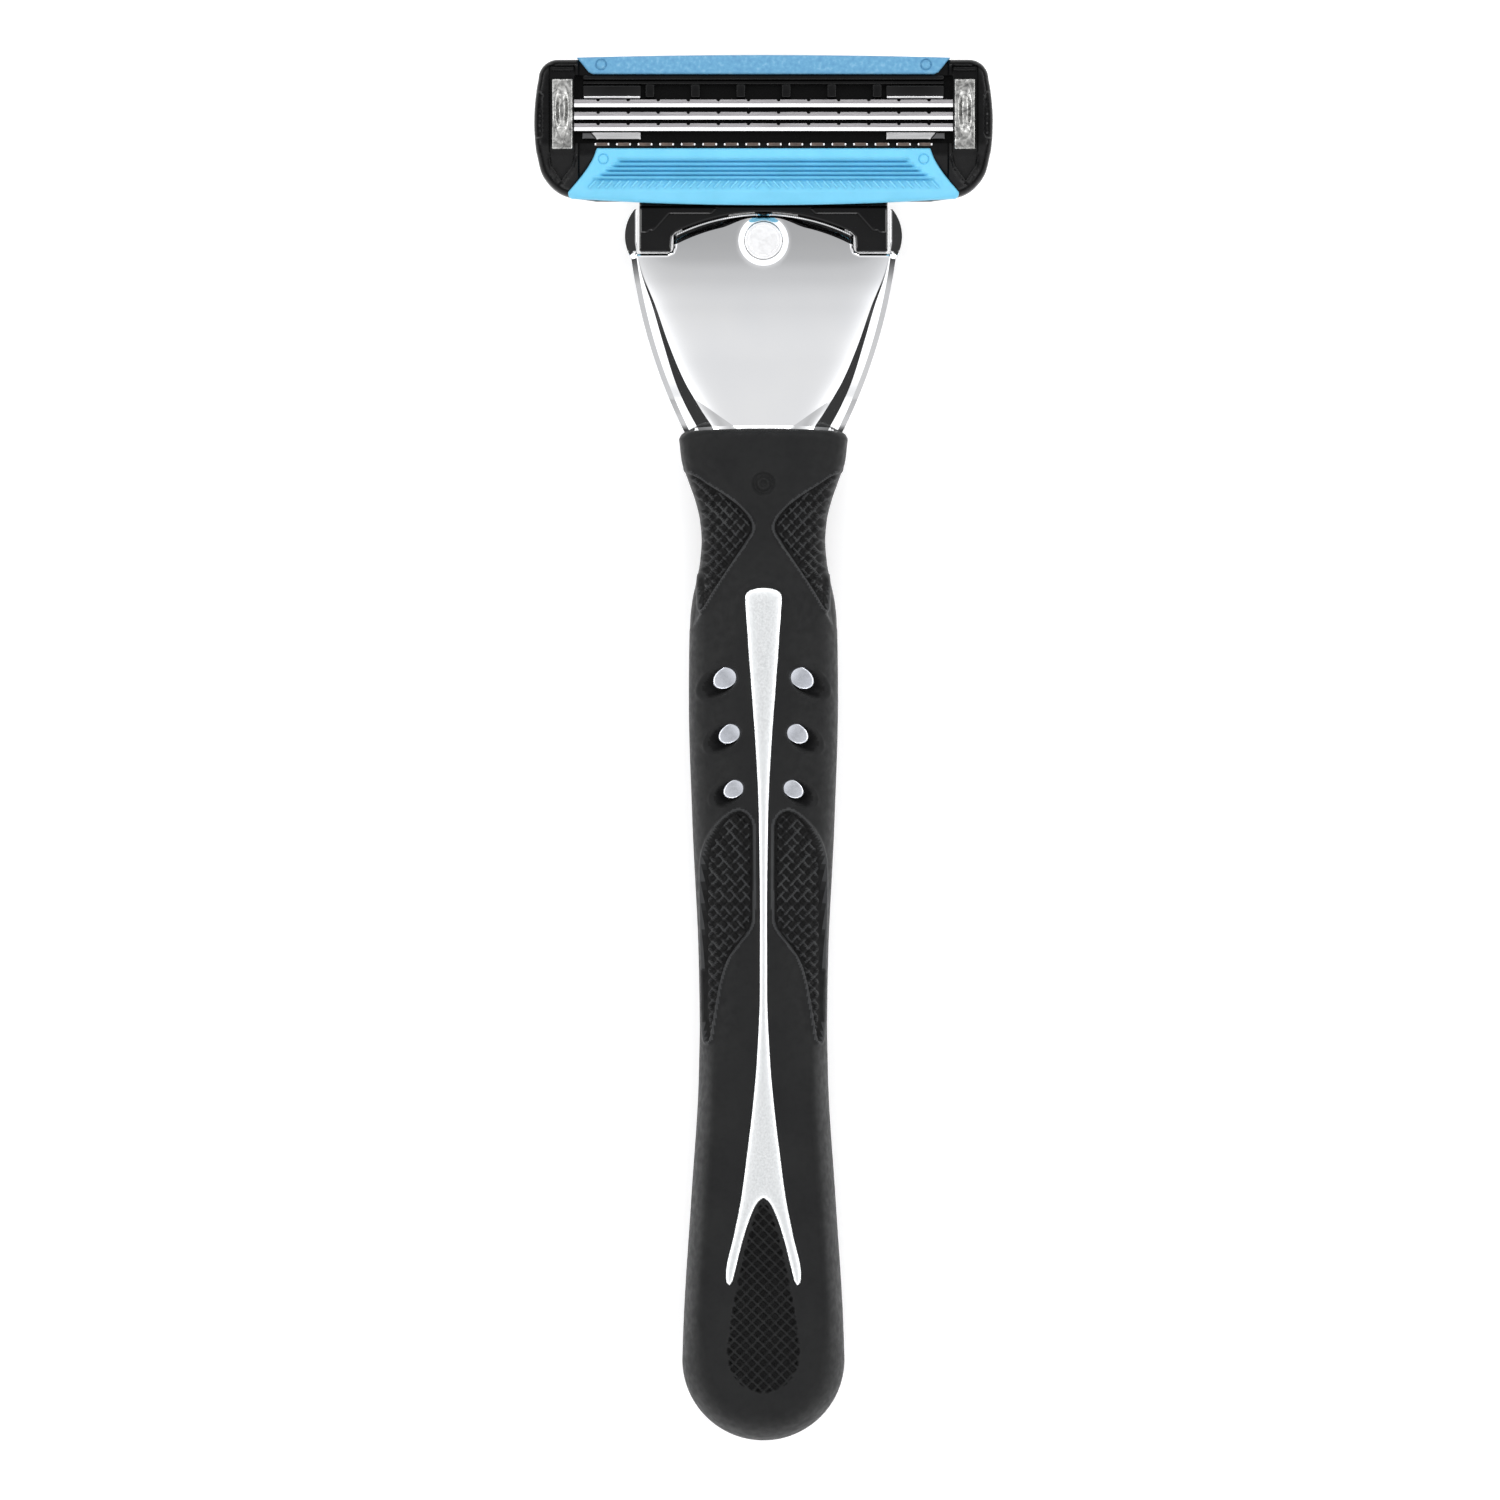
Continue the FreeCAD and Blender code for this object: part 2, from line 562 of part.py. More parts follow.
def guard_plan():
    """The guard strip's outline: long curved lower edge, hollow ends."""
    top_corner, *_, lower_corner = GUARD_END
    toe = GUARD_TOE[-1]
    right = [smooth(GUARD_END), arc(lower_corner, *GUARD_TOE)]
    left = [edge.mirror(Vector(0, 0, 0), Vector(1, 0, 0)) for edge in right]
    top = line(top_corner, flip(top_corner))
    bottom = arc(toe, (0, GUARD_LOWEST_Y), flip(toe))
    return Part.__sortEdges__(right + left + [top, bottom])


def lube_plan():
    """The lubricating strip's outline: slanted ends and a slightly crowned top."""
    low, high = LUBE_Y
    short, full = LUBE_HALF_WIDTH
    ends = [line((short, low), (full, high - 0.24)), line((-short, low), (-full, high - 0.24))]
    return Part.__sortEdges__(ends + [line((short, low), (-short, low)),
                                      arc((full, high - 0.24), (0, high), (-full, high - 0.24))])


def frame_cheeks():
    """The frame's outer solid: full height at both ends, lower between them."""
    body = plan_prism(frame_plan(), FRAME_BACK_Z, CHEEK_TOP_Z)
    slope = side_prism([(50, 14.9), (56, CHEEK_TOP_Z), (56, 18), (50, 18)], 30)
    body = body.cut(slope)
    back_slope = side_prism([(50, FRAME_BACK_Z - 1), (50, 13.6), (51.6, FRAME_BACK_Z),
                             (51.6, FRAME_BACK_Z - 1)], 30)
    body = body.cut(back_slope)
    half = BLADE_WINDOW_HALF_WIDTH
    body = body.cut(box(-half, half, BLADE_WINDOW_Y[0] - 6, 70, FRAME_FACE_Z, 20))
    return body


def back_pockets():
    """Blind pockets in the back, between the ribs that carry the blades."""
    pockets = []
    for i in range(RIB_COUNT - 1):
        x = (i - (RIB_COUNT - 2) / 2) * RIB_PITCH
        pockets.append(box(x - RIB_PITCH / 2 + RIB_HALF_WIDTH, x + RIB_PITCH / 2 - RIB_HALF_WIDTH,
                         BLADE_WINDOW_Y[0] + 0.3, BLADE_WINDOW_Y[1] - 0.3,
                         FRAME_BACK_Z - 1, FRAME_BACK_Z + POCKET_DEPTH))
    return pockets


def clip(side):
    """A folded metal band over the blades' ends, its tabs turned under the frame."""
    x0, x1 = CLIP_X
    y0, y1 = CLIP_Y
    under_z = FRAME_BACK_Z - CLIP_THICKNESS
    band = box(x0, x1, y0, y1, under_z, CLIP_TOP_Z)
    inside = box(x0 - 1, x1 + 1, y0 + CLIP_THICKNESS, y1 - CLIP_THICKNESS,
                 FRAME_BACK_Z, CLIP_TOP_Z - CLIP_THICKNESS)
    mouth = box(x0 - 1, x1 + 1, y0 + CLIP_TAB, y1 - CLIP_TAB, under_z - 1, FRAME_BACK_Z + 1)
    groove_x = (x0 + x1) / 2
    groove = box(groove_x - 0.5, groove_x + 0.5, y0 + 1.6, y1 - 1.6,
                 CLIP_TOP_Z - 0.1, CLIP_TOP_Z + 1)
    band = band.cut(inside).cut(mouth).cut(groove)
    return band if side > 0 else mirrored(band)


def cartridge_frame():
    """The moulded body that holds the blades, with hinge ears and the plunger's fin."""
    body = frame_cheeks()
    half = BLADE_WINDOW_HALF_WIDTH
    low_y, high_y = BLADE_WINDOW_Y
    body = body.cut(box(-half, half, low_y, high_y, WINDOW_FLOOR_Z, 20))
    for pocket in back_pockets():
        body = body.cut(pocket)
    body = body.cut(plan_prism(guard_plan(), GUARD_SEAT_Z, 20))
    body = body.cut(plan_prism(lube_plan(), STRIP_BOTTOM_Z, 20))
    x0, x1 = CLIP_X
    recess = box(x0 - 0.2, x1 + 0.05, CLIP_Y[0] - 0.05, 62.9, CLIP_TOP_Z - CLIP_THICKNESS, 20)
    seat = box(half - 0.1, x1 - 0.3, low_y + 0.6, high_y - 0.6, 15.9, 20)
    body = body.cut(both_sides(recess)).cut(both_sides(seat))
    body = body.cut(clip(1)).cut(clip(-1))
    ear_x0, ear_x1 = HINGE_EAR_X
    ear = rod(HINGE_EAR_RADIUS, (ear_x0, HINGE_Y, HINGE_Z), (ear_x1, HINGE_Y, HINGE_Z))
    ear = ear.fuse(box(ear_x0, ear_x1, HINGE_Y - HINGE_EAR_RADIUS + 0.3, HINGE_Y + HINGE_EAR_RADIUS,
                       HINGE_Z, FRAME_BACK_Z + 0.3))
    ear = ear.cut(rod(TRUNNION_RADIUS + TRUNNION_GAP, (ear_x0 - 1, HINGE_Y, HINGE_Z),
                      (ear_x1 + 1, HINGE_Y, HINGE_Z)))
    body = body.fuse(both_sides(ear))
    fin = box(-FIN_HALF_WIDTH, FIN_HALF_WIDTH, FIN_FACE_Y, FIN_FACE_Y + FIN_THICKNESS,
              FIN_BOTTOM_Z, FRAME_BACK_Z + 0.3)
    body = body.fuse(fin)
    for i in range(3):
        body = body.cut(blade_support(i, 0.0))
    return body


def tilted(edge_y, along, down):
    """A point measured from a blade's edge, along the blade and square to it."""
    tilt = math.radians(BLADE_TILT)
    return (edge_y + along * math.cos(tilt) - down * math.sin(tilt),
            BLADE_EDGE_Z - along * math.sin(tilt) - down * math.cos(tilt))


def blade(index):
    """One blade: a thin strip ground to an edge on the guard's side."""
    edge_y = BLADE_EDGE_Y[index]
    grind = 0.3
    outline = [tilted(edge_y, 0, BLADE_THICKNESS / 2), tilted(edge_y, grind, 0),
               tilted(edge_y, BLADE_WIDTH, 0), tilted(edge_y, BLADE_WIDTH, BLADE_THICKNESS),
               tilted(edge_y, grind, BLADE_THICKNESS)]
    return side_prism(outline, BLADE_HALF_LENGTH)


def blade_support(index, trim_length=0.3):
    """The bent carrier under a blade: a sloping shelf and a straight leg."""
    edge_y = BLADE_EDGE_Y[index]
    shelf_top = BLADE_THICKNESS
    front = tilted(edge_y, SUPPORT_SETBACK, shelf_top)
    front_low = tilted(edge_y, SUPPORT_SETBACK, shelf_top + SUPPORT_THICKNESS)
    back = tilted(edge_y, BLADE_WIDTH, shelf_top)
    leg_y = back[0]
    low = tilted(edge_y, BLADE_WIDTH - SUPPORT_THICKNESS, shelf_top + SUPPORT_THICKNESS)
    outline = [front, back, (leg_y, SUPPORT_LEG_BOTTOM_Z),
               (leg_y - SUPPORT_THICKNESS, SUPPORT_LEG_BOTTOM_Z),
               (leg_y - SUPPORT_THICKNESS, low[1]), front_low]
    return side_prism(outline, BLADE_WINDOW_HALF_WIDTH - trim_length)


def guard_strip():
    """The soft fins in front of the blades, on a seat that curves away from them."""
    body = plan_prism(guard_plan(), GUARD_SEAT_Z, GUARD_TOP_Z)
    slope = side_prism([(49, 14.6), (52.3, 16.25), (55.7, 16.9), (55.7, 18), (49, 18)], 30)
    body = body.cut(slope)
    first, last = GUARD_RIB_LENGTHS
    for i in range(GUARD_RIB_COUNT):
        share = i / (GUARD_RIB_COUNT - 1)
        half = first + (last - first) * share
        y = GUARD_RIB_FIRST_Y - i * GUARD_RIB_PITCH
        rib_top = 16.9 - (55.7 - y) * 0.19 + 0.12
        body = body.fuse(box(-half, half, y - 0.09, y + 0.09, GUARD_SEAT_Z + 0.5, rib_top))
    return body.removeSplitter()


def lubricating_strip():
    """The bar of lubricant above the blades."""
    return plan_prism(lube_plan(), STRIP_BOTTOM_Z, LUBE_TOP_Z)


# ---- write every piece -----------------------------------------------------------------
def all_pieces():
    """Every sub-part by name."""
    studs = {}
    for number, (x, y, radius) in enumerate(STUD_PLACES, start=1):
        studs[f"grip_stud_{number}_right"] = stud(x, y, radius)
        studs[f"grip_stud_{number}_left"] = stud(-x, y, radius)
    trim_prism = plan_prism(trim_outline(), SPINE_TOP_Z, 20)
    pieces = {
        "handle_core": handle_core(),
        "grip": grip(trim_prism, studs.values()),
        "accent_trim": trim_prism.common(grip_body(TRIM_PROUD)),
        "neck_back_cover": neck_back_cover(),
        "ejector_guide": ejector_guide(),
        "release_button": release_button(),
        "button_spring": button_spring(),
        "ejector": ejector(),
        "plunger": plunger(),
        "plunger_spring": plunger_spring(),
        "connector_yoke": connector_yoke(),
        "cartridge_frame": cartridge_frame(),
        "guard_strip": guard_strip(),
        "lubricating_strip": lubricating_strip(),
        "clip_right": clip(1),
        "clip_left": clip(-1),
    }
    pieces["grip"] = pieces["grip"].cut(neck_body())
    for index in range(3):
        pieces[f"blade_{index + 1}"] = blade(index)
        pieces[f"blade_support_{index + 1}"] = blade_support(index)
    pieces.update(studs)
    return pieces


def main():
    """Write one STEP file per piece."""
    os.makedirs("parts", exist_ok=True)
    for name, shape in all_pieces().items():
        shape.exportStep(f"parts/{name}.step")
        print(name, shape.isValid(), len(shape.Solids), round(shape.Volume, 2))


main()
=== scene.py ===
"""Looks of the cartridge razor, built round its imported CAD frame.

Lengths are in millimetres in the part's own frame until make_piece turns them into metres.
Most pieces are plaques: a plan outline filled with a fine triangle net, whose top and bottom
heights come from a formula, so ribs, rims and rounded edges are all real geometry.
"""
import math

import bmesh
import bpy
import numpy as np
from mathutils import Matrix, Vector
from mathutils.geometry import delaunay_2d_cdt
from mathutils.kdtree import KDTree


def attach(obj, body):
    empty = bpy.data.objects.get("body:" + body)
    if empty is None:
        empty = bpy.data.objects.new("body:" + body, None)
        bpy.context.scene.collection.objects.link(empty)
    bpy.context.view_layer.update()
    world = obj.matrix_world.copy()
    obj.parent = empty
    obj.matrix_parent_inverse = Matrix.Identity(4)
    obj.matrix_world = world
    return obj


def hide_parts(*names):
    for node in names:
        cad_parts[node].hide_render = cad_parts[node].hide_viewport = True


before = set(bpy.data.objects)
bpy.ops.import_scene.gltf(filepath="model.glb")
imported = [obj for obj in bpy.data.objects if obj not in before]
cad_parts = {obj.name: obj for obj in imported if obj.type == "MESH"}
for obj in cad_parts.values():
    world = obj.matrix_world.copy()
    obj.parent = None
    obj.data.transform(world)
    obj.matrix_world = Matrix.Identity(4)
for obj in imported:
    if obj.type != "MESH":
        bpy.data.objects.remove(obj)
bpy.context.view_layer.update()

MM = 0.001
SEED = 11


# ---- curves and distances --------------------------------------------------------------
def through(points, samples=12, closed=False):
    """A smooth line through the points (Catmull-Rom), as an array."""
    p = np.array(points, float)
    if closed:
        p = np.vstack([p[-1], p, p[0], p[1]])
    else:
        p = np.vstack([2 * p[0] - p[1], p, 2 * p[-1] - p[-2]])
    out = []
    for a, b, c, d in zip(p[:-3], p[1:-2], p[2:-1], p[3:]):
        for t in np.arange(samples) / samples:
            out.append(0.5 * (2 * b + (c - a) * t + (2 * a - 5 * b + 4 * c - d) * t ** 2
                              + (3 * b - a - 3 * c + d) * t ** 3))
    if not closed:
        out.append(p[-2])
    return np.array(out)


def arc_through(a, middle, b, samples=24):
    """A circular arc from a to b by way of middle."""
    a, m, b = (np.array(q, float) for q in (a, middle, b))
    d = 2 * ((a[0] - b[0]) * (m[1] - b[1]) - (m[0] - b[0]) * (a[1] - b[1]))
    sa, sm, sb = (q @ q for q in (a, m, b))
    centre = np.array([
        (sa - sb) * (m[1] - b[1]) - (sm - sb) * (a[1] - b[1]),
        (sm - sb) * (a[0] - b[0]) - (sa - sb) * (m[0] - b[0])]) / d
    start, mid, end = (math.atan2(*(q - centre)[::-1]) for q in (a, m, b))
    turn = (end - start) % (2 * math.pi)
    if (mid - start) % (2 * math.pi) > turn:
        turn -= 2 * math.pi
    radius = np.linalg.norm(a - centre)
    angles = start + turn * np.linspace(0, 1, samples)
    return centre + radius * np.column_stack([np.cos(angles), np.sin(angles)])


def circle(x, y, radius, samples=48):
    """A round outline."""
    angles = 2 * math.pi * np.arange(samples) / samples
    return np.column_stack([x + radius * np.cos(angles), y + radius * np.sin(angles)])


def rounded_rect(x0, x1, y0, y1, radius, samples=8):
    """A rectangle with round corners."""
    points = []
    for cx, cy, start in ((x1, y1, 0), (x0, y1, 90), (x0, y0, 180), (x1, y0, 270)):
        sx = -radius if cx == x1 else radius
        sy = -radius if cy == y1 else radius
        for k in range(samples + 1):
            angle = math.radians(start + 90 * k / samples)
            points.append((cx + sx + radius * math.cos(angle), cy + sy + radius * math.sin(angle)))
    return np.array(points)


def mirrored_loop(right):
    """A closed outline from its right half, listed from the lowest point to the highest."""
    right = np.array(right, float)
    left = right[::-1] * [-1, 1]
    return np.vstack([right, left])


def even(loop, step):
    """A closed outline again, with points no further apart than step."""
    out = []
    for a, b in zip(loop, np.roll(loop, -1, axis=0)):
        length = np.linalg.norm(b - a)
        if length < 1e-6:
            continue
        pieces = max(1, math.ceil(length / step))
        out.extend(a + (b - a) * k / pieces for k in range(pieces))
    return np.array(out)


def ramp(value, low, high):
    """0 below low, 1 above high, smooth between."""
    t = np.clip((value - low) / (high - low), 0, 1)
    return t * t * (3 - 2 * t)


def at(y, table):
    """Smooth value at y from a short table of (y, value), by monotone cubics."""
    table = sorted(table)
    xs = np.array([row[0] for row in table], float)
    vs = np.array([row[1] for row in table], float)
    h = np.diff(xs)
    slope = np.diff(vs) / h
    m = np.zeros(len(xs))
    m[0], m[-1] = slope[0], slope[-1]
    same = slope[:-1] * slope[1:] > 0
    w1, w2 = 2 * h[1:] + h[:-1], h[1:] + 2 * h[:-1]
    with np.errstate(divide="ignore", invalid="ignore"):
        harmonic = (w1 + w2) / (w1 / slope[:-1] + w2 / slope[1:])
    m[1:-1] = np.where(same, harmonic, 0)
    y = np.clip(y, xs[0], xs[-1])
    k = np.clip(np.searchsorted(xs, y) - 1, 0, len(h) - 1)
    t = (y - xs[k]) / h[k]
    return ((2 * t ** 3 - 3 * t ** 2 + 1) * vs[k] + (t ** 3 - 2 * t ** 2 + t) * h[k] * m[k]
            + (3 * t ** 2 - 2 * t ** 3) * vs[k + 1] + (t ** 3 - t ** 2) * h[k] * m[k + 1])


def depth_inside(x, y, loops):
    """Distance to the nearest outline: positive inside the first loop and outside its holes."""
    x, y = np.asarray(x, float), np.asarray(y, float)
    shape = x.shape
    x, y = x.ravel(), y.ravel()
    best = np.full(x.size, np.inf)
    inside = np.zeros(x.size, bool)
    for loop in loops:
        a = np.asarray(loop, float)
        b = np.roll(a, -1, axis=0)
        for (ax, ay), (bx, by) in zip(a, b):
            ex, ey = bx - ax, by - ay
            length2 = ex * ex + ey * ey
            if length2 < 1e-14:
                continue
            t = np.clip(((x - ax) * ex + (y - ay) * ey) / length2, 0, 1)
            best = np.minimum(best, (x - ax - t * ex) ** 2 + (y - ay - t * ey) ** 2)
            if ay != by:
                crosses = ((ay > y) != (by > y)) & (x < ax + (y - ay) / (by - ay) * ex)
                inside ^= crosses
    return (np.where(inside, 1, -1) * np.sqrt(best)).reshape(shape)


def rounding(depth, radius):
    """How far a surface drops near its edge when the edge has this radius."""
    d = np.clip(depth, 0, radius)
    return radius - np.sqrt(np.maximum(radius ** 2 - (radius - d) ** 2, 0))


# ---- pieces ----------------------------------------------------------------------------
def make_piece(name, parts, materials, body, replaces, sharp_angle):
    """One visible object from (vertices, faces, material index) groups in millimetres."""
    vertices, faces, indices = [], [], []
    start = 0
    for group in parts:
        points, polygons = group[0], group[1]
        vertices.append(np.asarray(points, float))
        faces.extend([tuple(int(i) + start for i in polygon) for polygon in polygons])
        kind = group[2] if len(group) > 2 else 0
        indices.extend(np.broadcast_to(kind, len(polygons)).tolist())
        start += len(points)
    mesh = bpy.data.meshes.new(name)
    mesh.from_pydata((np.vstack(vertices) * MM).tolist(), [], faces)
    for material in materials if isinstance(materials, (list, tuple)) else [materials]:
        mesh.materials.append(material)
    mesh.polygons.foreach_set("material_index", indices)
    mesh.polygons.foreach_set("use_smooth", [True] * len(faces))
    mesh.update()
    mesh.validate()
    mesh.set_sharp_from_angle(angle=math.radians(sharp_angle))
    piece = bpy.data.objects.new(name, mesh)
    bpy.context.scene.collection.objects.link(piece)
    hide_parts(*replaces)
    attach(piece, body)
    return piece


def clear_of(points, crowd, distance):
    """The points that have no member of the crowd nearer than this distance."""
    tree = KDTree(len(crowd))
    for index, (x, y) in enumerate(crowd):
        tree.insert((x, y, 0), index)
    tree.balance()
    return np.array([p for p in points if tree.find((*p, 0))[2] > distance]).reshape(-1, 2)


def plaque(outline, top, bottom, holes=(), step=0.25, rings=(0.05, 0.12, 0.22), edge=0.15,
           lines=()):
    """A closed solid over a plan outline. top and bottom give height from (x, y, depth).

    lines are open lines that the net's points follow, so that creases there stay clean.
    """
    loops = [even(np.asarray(loop, float), edge) for loop in (outline, *holes)]
    rim, spans, start = [], [], 0
    for loop in loops:
        rim.append(loop)
        spans.append((start, len(loop)))
        start += len(loop)
    rim_count = start
    inner = []
    low, high = loops[0].min(axis=0), loops[0].max(axis=0)
    xs = np.arange(low[0] + step / 2, high[0], step)
    ys = np.arange(low[1] + step / 2, high[1], step)
    gx, gy = np.meshgrid(xs, ys)
    gx = gx + np.where(np.arange(len(ys)) % 2, step / 2, 0)[:, None]
    inner.append(np.column_stack([gx.ravel(), gy.ravel()]))
    kept = depth_inside(inner[0][:, 0], inner[0][:, 1], loops)
    inner[0] = inner[0][kept > (max(rings) if rings else 0) + step * 0.35]
    for offset in rings:
        for loop in loops:
            along = np.roll(loop, -1, axis=0) - np.roll(loop, 1, axis=0)
            along /= np.maximum(np.linalg.norm(along, axis=1), 1e-9)[:, None]
            for sign in (1, -1):
                moved = loop + sign * offset * np.column_stack([-along[:, 1], along[:, 0]])
                far = depth_inside(moved[:, 0], moved[:, 1], loops)
                inner.append(moved[far > offset * 0.93])
    edges, start = [], rim_count
    if len(lines):
        kept_lines = []
        for line in lines:
            kept = depth_inside(line[:, 0], line[:, 1], loops) > 0.03
            numbers = np.cumsum(kept) - 1 + start
            edges.extend((numbers[k], numbers[k + 1]) for k in range(len(line) - 1)
                         if kept[k] and kept[k + 1])
            start += int(kept.sum())
            kept_lines.append(line[kept])
        crowd = np.vstack(kept_lines)
        inner = [clear_of(points, crowd, step * 0.55) for points in inner]
        inner = [crowd] + [points for points in inner if len(points)]
    flat = np.vstack(rim + inner)
    for first, count in spans:
        edges.extend((first + k, first + (k + 1) % count) for k in range(count))
    out = delaunay_2d_cdt([Vector(p) for p in flat], edges, [], 0, 1e-5, True)
    points = np.array([tuple(v) for v in out[0]])
    triangles = np.array([tuple(f) for f in out[2]])
    centres = points[triangles].mean(axis=1)
    triangles = triangles[depth_inside(centres[:, 0], centres[:, 1], loops) > 0]
    a, b, c = (points[triangles[:, k]] for k in range(3))
    area = (b[:, 0] - a[:, 0]) * (c[:, 1] - a[:, 1]) - (b[:, 1] - a[:, 1]) * (c[:, 0] - a[:, 0])
    triangles[area < 0] = triangles[area < 0][:, ::-1]
    depth = np.maximum(depth_inside(points[:, 0], points[:, 1], loops), 0)
    depth[depth < 1e-4] = 0
    x, y = points[:, 0], points[:, 1]
    count = len(points)
    upper = np.column_stack([x, y, top(x, y, depth)])
    lower = np.column_stack([x, y, bottom(x, y, depth)])
    sides = {}
    for i, j, k in triangles:
        for edge_pair in ((i, j), (j, k), (k, i)):
            sides[edge_pair] = sides.get(edge_pair, 0) + 1
    walls = [(i, i + count, j + count, j) for i, j in sides if (j, i) not in sides]
    faces = [tuple(t) for t in triangles] + [tuple(t[::-1] + count) for t in triangles] + walls
    return np.vstack([upper, lower]), faces


def flat(level):
    """A plaque's level top or bottom."""
    return lambda x, y, depth: np.full(x.shape, level)


def span(side, near, far):
    """Two distances from the middle as an X range on one side, lowest first."""
    return sorted((side * near, side * far))


def rounded_mesh(work, round_by, segments):
    """Points and faces of a bmesh with its edges rounded."""
    if round_by:
        bmesh.ops.bevel(work, geom=work.edges[:], offset=round_by, segments=segments,
                        profile=0.5, affect="EDGES")
    work.verts.index_update()
    points = np.array([tuple(v.co) for v in work.verts])
    faces = [tuple(v.index for v in f.verts) for f in work.faces]
    work.free()
    return points, faces


def block(x0, x1, y0, y1, z0, z1, round_by=0.06, segments=2):
    """A bar with rounded edges."""
    work = bmesh.new()
    corners = [work.verts.new((x, y, z)) for x in (x0, x1) for y in (y0, y1) for z in (z0, z1)]
    for face in ((0, 1, 3, 2), (4, 6, 7, 5), (0, 4, 5, 1),
                 (2, 3, 7, 6), (0, 2, 6, 4), (1, 5, 7, 3)):
        work.faces.new([corners[i] for i in face])
    return rounded_mesh(work, round_by, segments)


def prism_x(profile, x0, x1, round_by=0.05, segments=2):
    """A profile given in (y, z), pushed along X, with rounded edges."""
    work = bmesh.new()
    near = [work.verts.new((x0, y, z)) for y, z in profile]
    far = [work.verts.new((x1, y, z)) for y, z in profile]
    work.faces.new(near)
    work.faces.new(far[::-1])
    count = len(profile)
    for i in range(count):
        j = (i + 1) % count
        work.faces.new((near[i], far[i], far[j], near[j]))
    bmesh.ops.recalc_face_normals(work, faces=work.faces[:])
    return rounded_mesh(work, round_by, segments)


def lathe(profile, centre, axis=(0, 0, 1), steps=64):
    """A profile of (radius, height) turned round an axis, closed at both ends."""
    axis = Vector(axis).normalized()
    side = axis.orthogonal().normalized()
    other = axis.cross(side)
    points = []
    for radius, height in profile:
        for k in range(steps):
            angle = 2 * math.pi * k / steps
            points.append(Vector(centre) + axis * height
                          + (side * math.cos(angle) + other * math.sin(angle)) * radius)
    faces = []
    for row in range(len(profile) - 1):
        for k in range(steps):
            n = (k + 1) % steps
            faces.append((row * steps + k, row * steps + n,
                          (row + 1) * steps + n, (row + 1) * steps + k))
    last = (len(profile) - 1) * steps
    faces.append(tuple(range(steps))[::-1])
    faces.append(tuple(last + k for k in range(steps)))
    return np.array([tuple(p) for p in points]), faces


# ---- materials -------------------------------------------------------------------------
def fill_ramp(node, stops):
    """Sets a colour ramp's (position, colour) stops."""
    elements = node.color_ramp.elements
    while len(elements) < len(stops):
        elements.new(0.5)
    for element, (position, colour) in zip(elements, stops):
        element.position = position
        element.color = colour


class Material:
    """A small builder for one procedural material."""

    def __init__(self, name, colour, roughness, metallic=0.0, specular=0.5):
        self.material = bpy.data.materials.new(name)
        self.material.use_nodes = True
        self.tree = self.material.node_tree
        self.shader = self.tree.nodes["Principled BSDF"]
        self.shader.inputs["Base Color"].default_value = (*colour, 1)
        self.shader.inputs["Roughness"].default_value = roughness
        self.shader.inputs["Metallic"].default_value = metallic
        self.shader.inputs["Specular IOR Level"].default_value = specular
        self.place = self.tree.nodes.new("ShaderNodeTexCoord").outputs["Object"]

    def node(self, kind, source, socket, **inputs):
        """A new shader node with plain inputs, fed by the source at one socket."""
        node = self.tree.nodes.new(kind)
        for name, value in inputs.items():
            node.inputs[name.replace("_", " ")].default_value = value
        self.tree.links.new(source, node.inputs[socket])
        return node

    def noise(self, per_mm, detail=3.0, stretch=(1, 1, 1), distortion=0.0):
        """A noise value between 0 and 1 at so many features a millimetre."""
        mapping = self.node("ShaderNodeMapping", self.place, "Vector",
                            Scale=[per_mm / MM * s for s in stretch])
        return self.node("ShaderNodeTexNoise", mapping.outputs["Vector"], "Vector", Scale=1.0,
                         Detail=detail, Distortion=distortion).outputs["Fac"]

    def colour(self, value, stops):
        """Base colour from a value, by (position, colour) stops."""
        node = self.node("ShaderNodeValToRGB", value, "Fac")
        fill_ramp(node, [(position, (*colour, 1)) for position, colour in stops])
        self.tree.links.new(node.outputs["Color"], self.shader.inputs["Base Color"])

    def roughness(self, value, low, high):
        """Roughness that varies between two limits over the middle of a value's range."""
        node = self.node("ShaderNodeMapRange", value, "Value", From_Min=0.35, From_Max=0.65,
                         To_Min=low, To_Max=high)
        self.tree.links.new(node.outputs["Result"], self.shader.inputs["Roughness"])

    def bump(self, value, height_mm, strength):
        """Surface grain of so many millimetres."""
        node = self.node("ShaderNodeBump", value, "Height", Strength=strength,
                         Distance=height_mm * MM)
        self.tree.links.new(node.outputs["Normal"], self.shader.inputs["Normal"])

    def set(self, **values):
        """Plain values on the shader's own sockets."""
        for name, value in values.items():
            self.shader.inputs[name.replace("_", " ")].default_value = value
        return self


def surface(name, colour, rough, tones, tone_noise, grain, relief, metallic=0.0, specular=0.5,
            **sockets):
    """A finished material: tones and roughness over noise, then a fine bump.

    grain is (noise settings, roughness limits); relief is (noise settings, height and strength).
    """
    m = Material(name, colour, rough, metallic, specular)
    m.colour(m.noise(*tone_noise), tones)
    m.roughness(m.noise(*grain[0]), *grain[1])
    m.bump(m.noise(*relief[0]), *relief[1])
    return m.set(**sockets).material


def rubber(name, shade):
    """The grip's rubber; shade scales its colour, giving the plain rubber, a lighter copy for
    painted highlight and a darker copy for painted shade.
    """
    dark = tuple(shade * c for c in (0.0062, 0.0064, 0.0068))
    pale = tuple(shade * c for c in (0.0092, 0.0095, 0.0096))
    return surface(name, (0.0085, 0.0085, 0.009), 0.62, [(0.3, dark), (0.7, pale)], (0.25, 4),
                   ((1.4, 4), (0.52, 0.70)), ((9.0, 5), (0.006, 0.55)), specular=0.18,
                   Sheen_Weight=0.06, Sheen_Roughness=0.5)


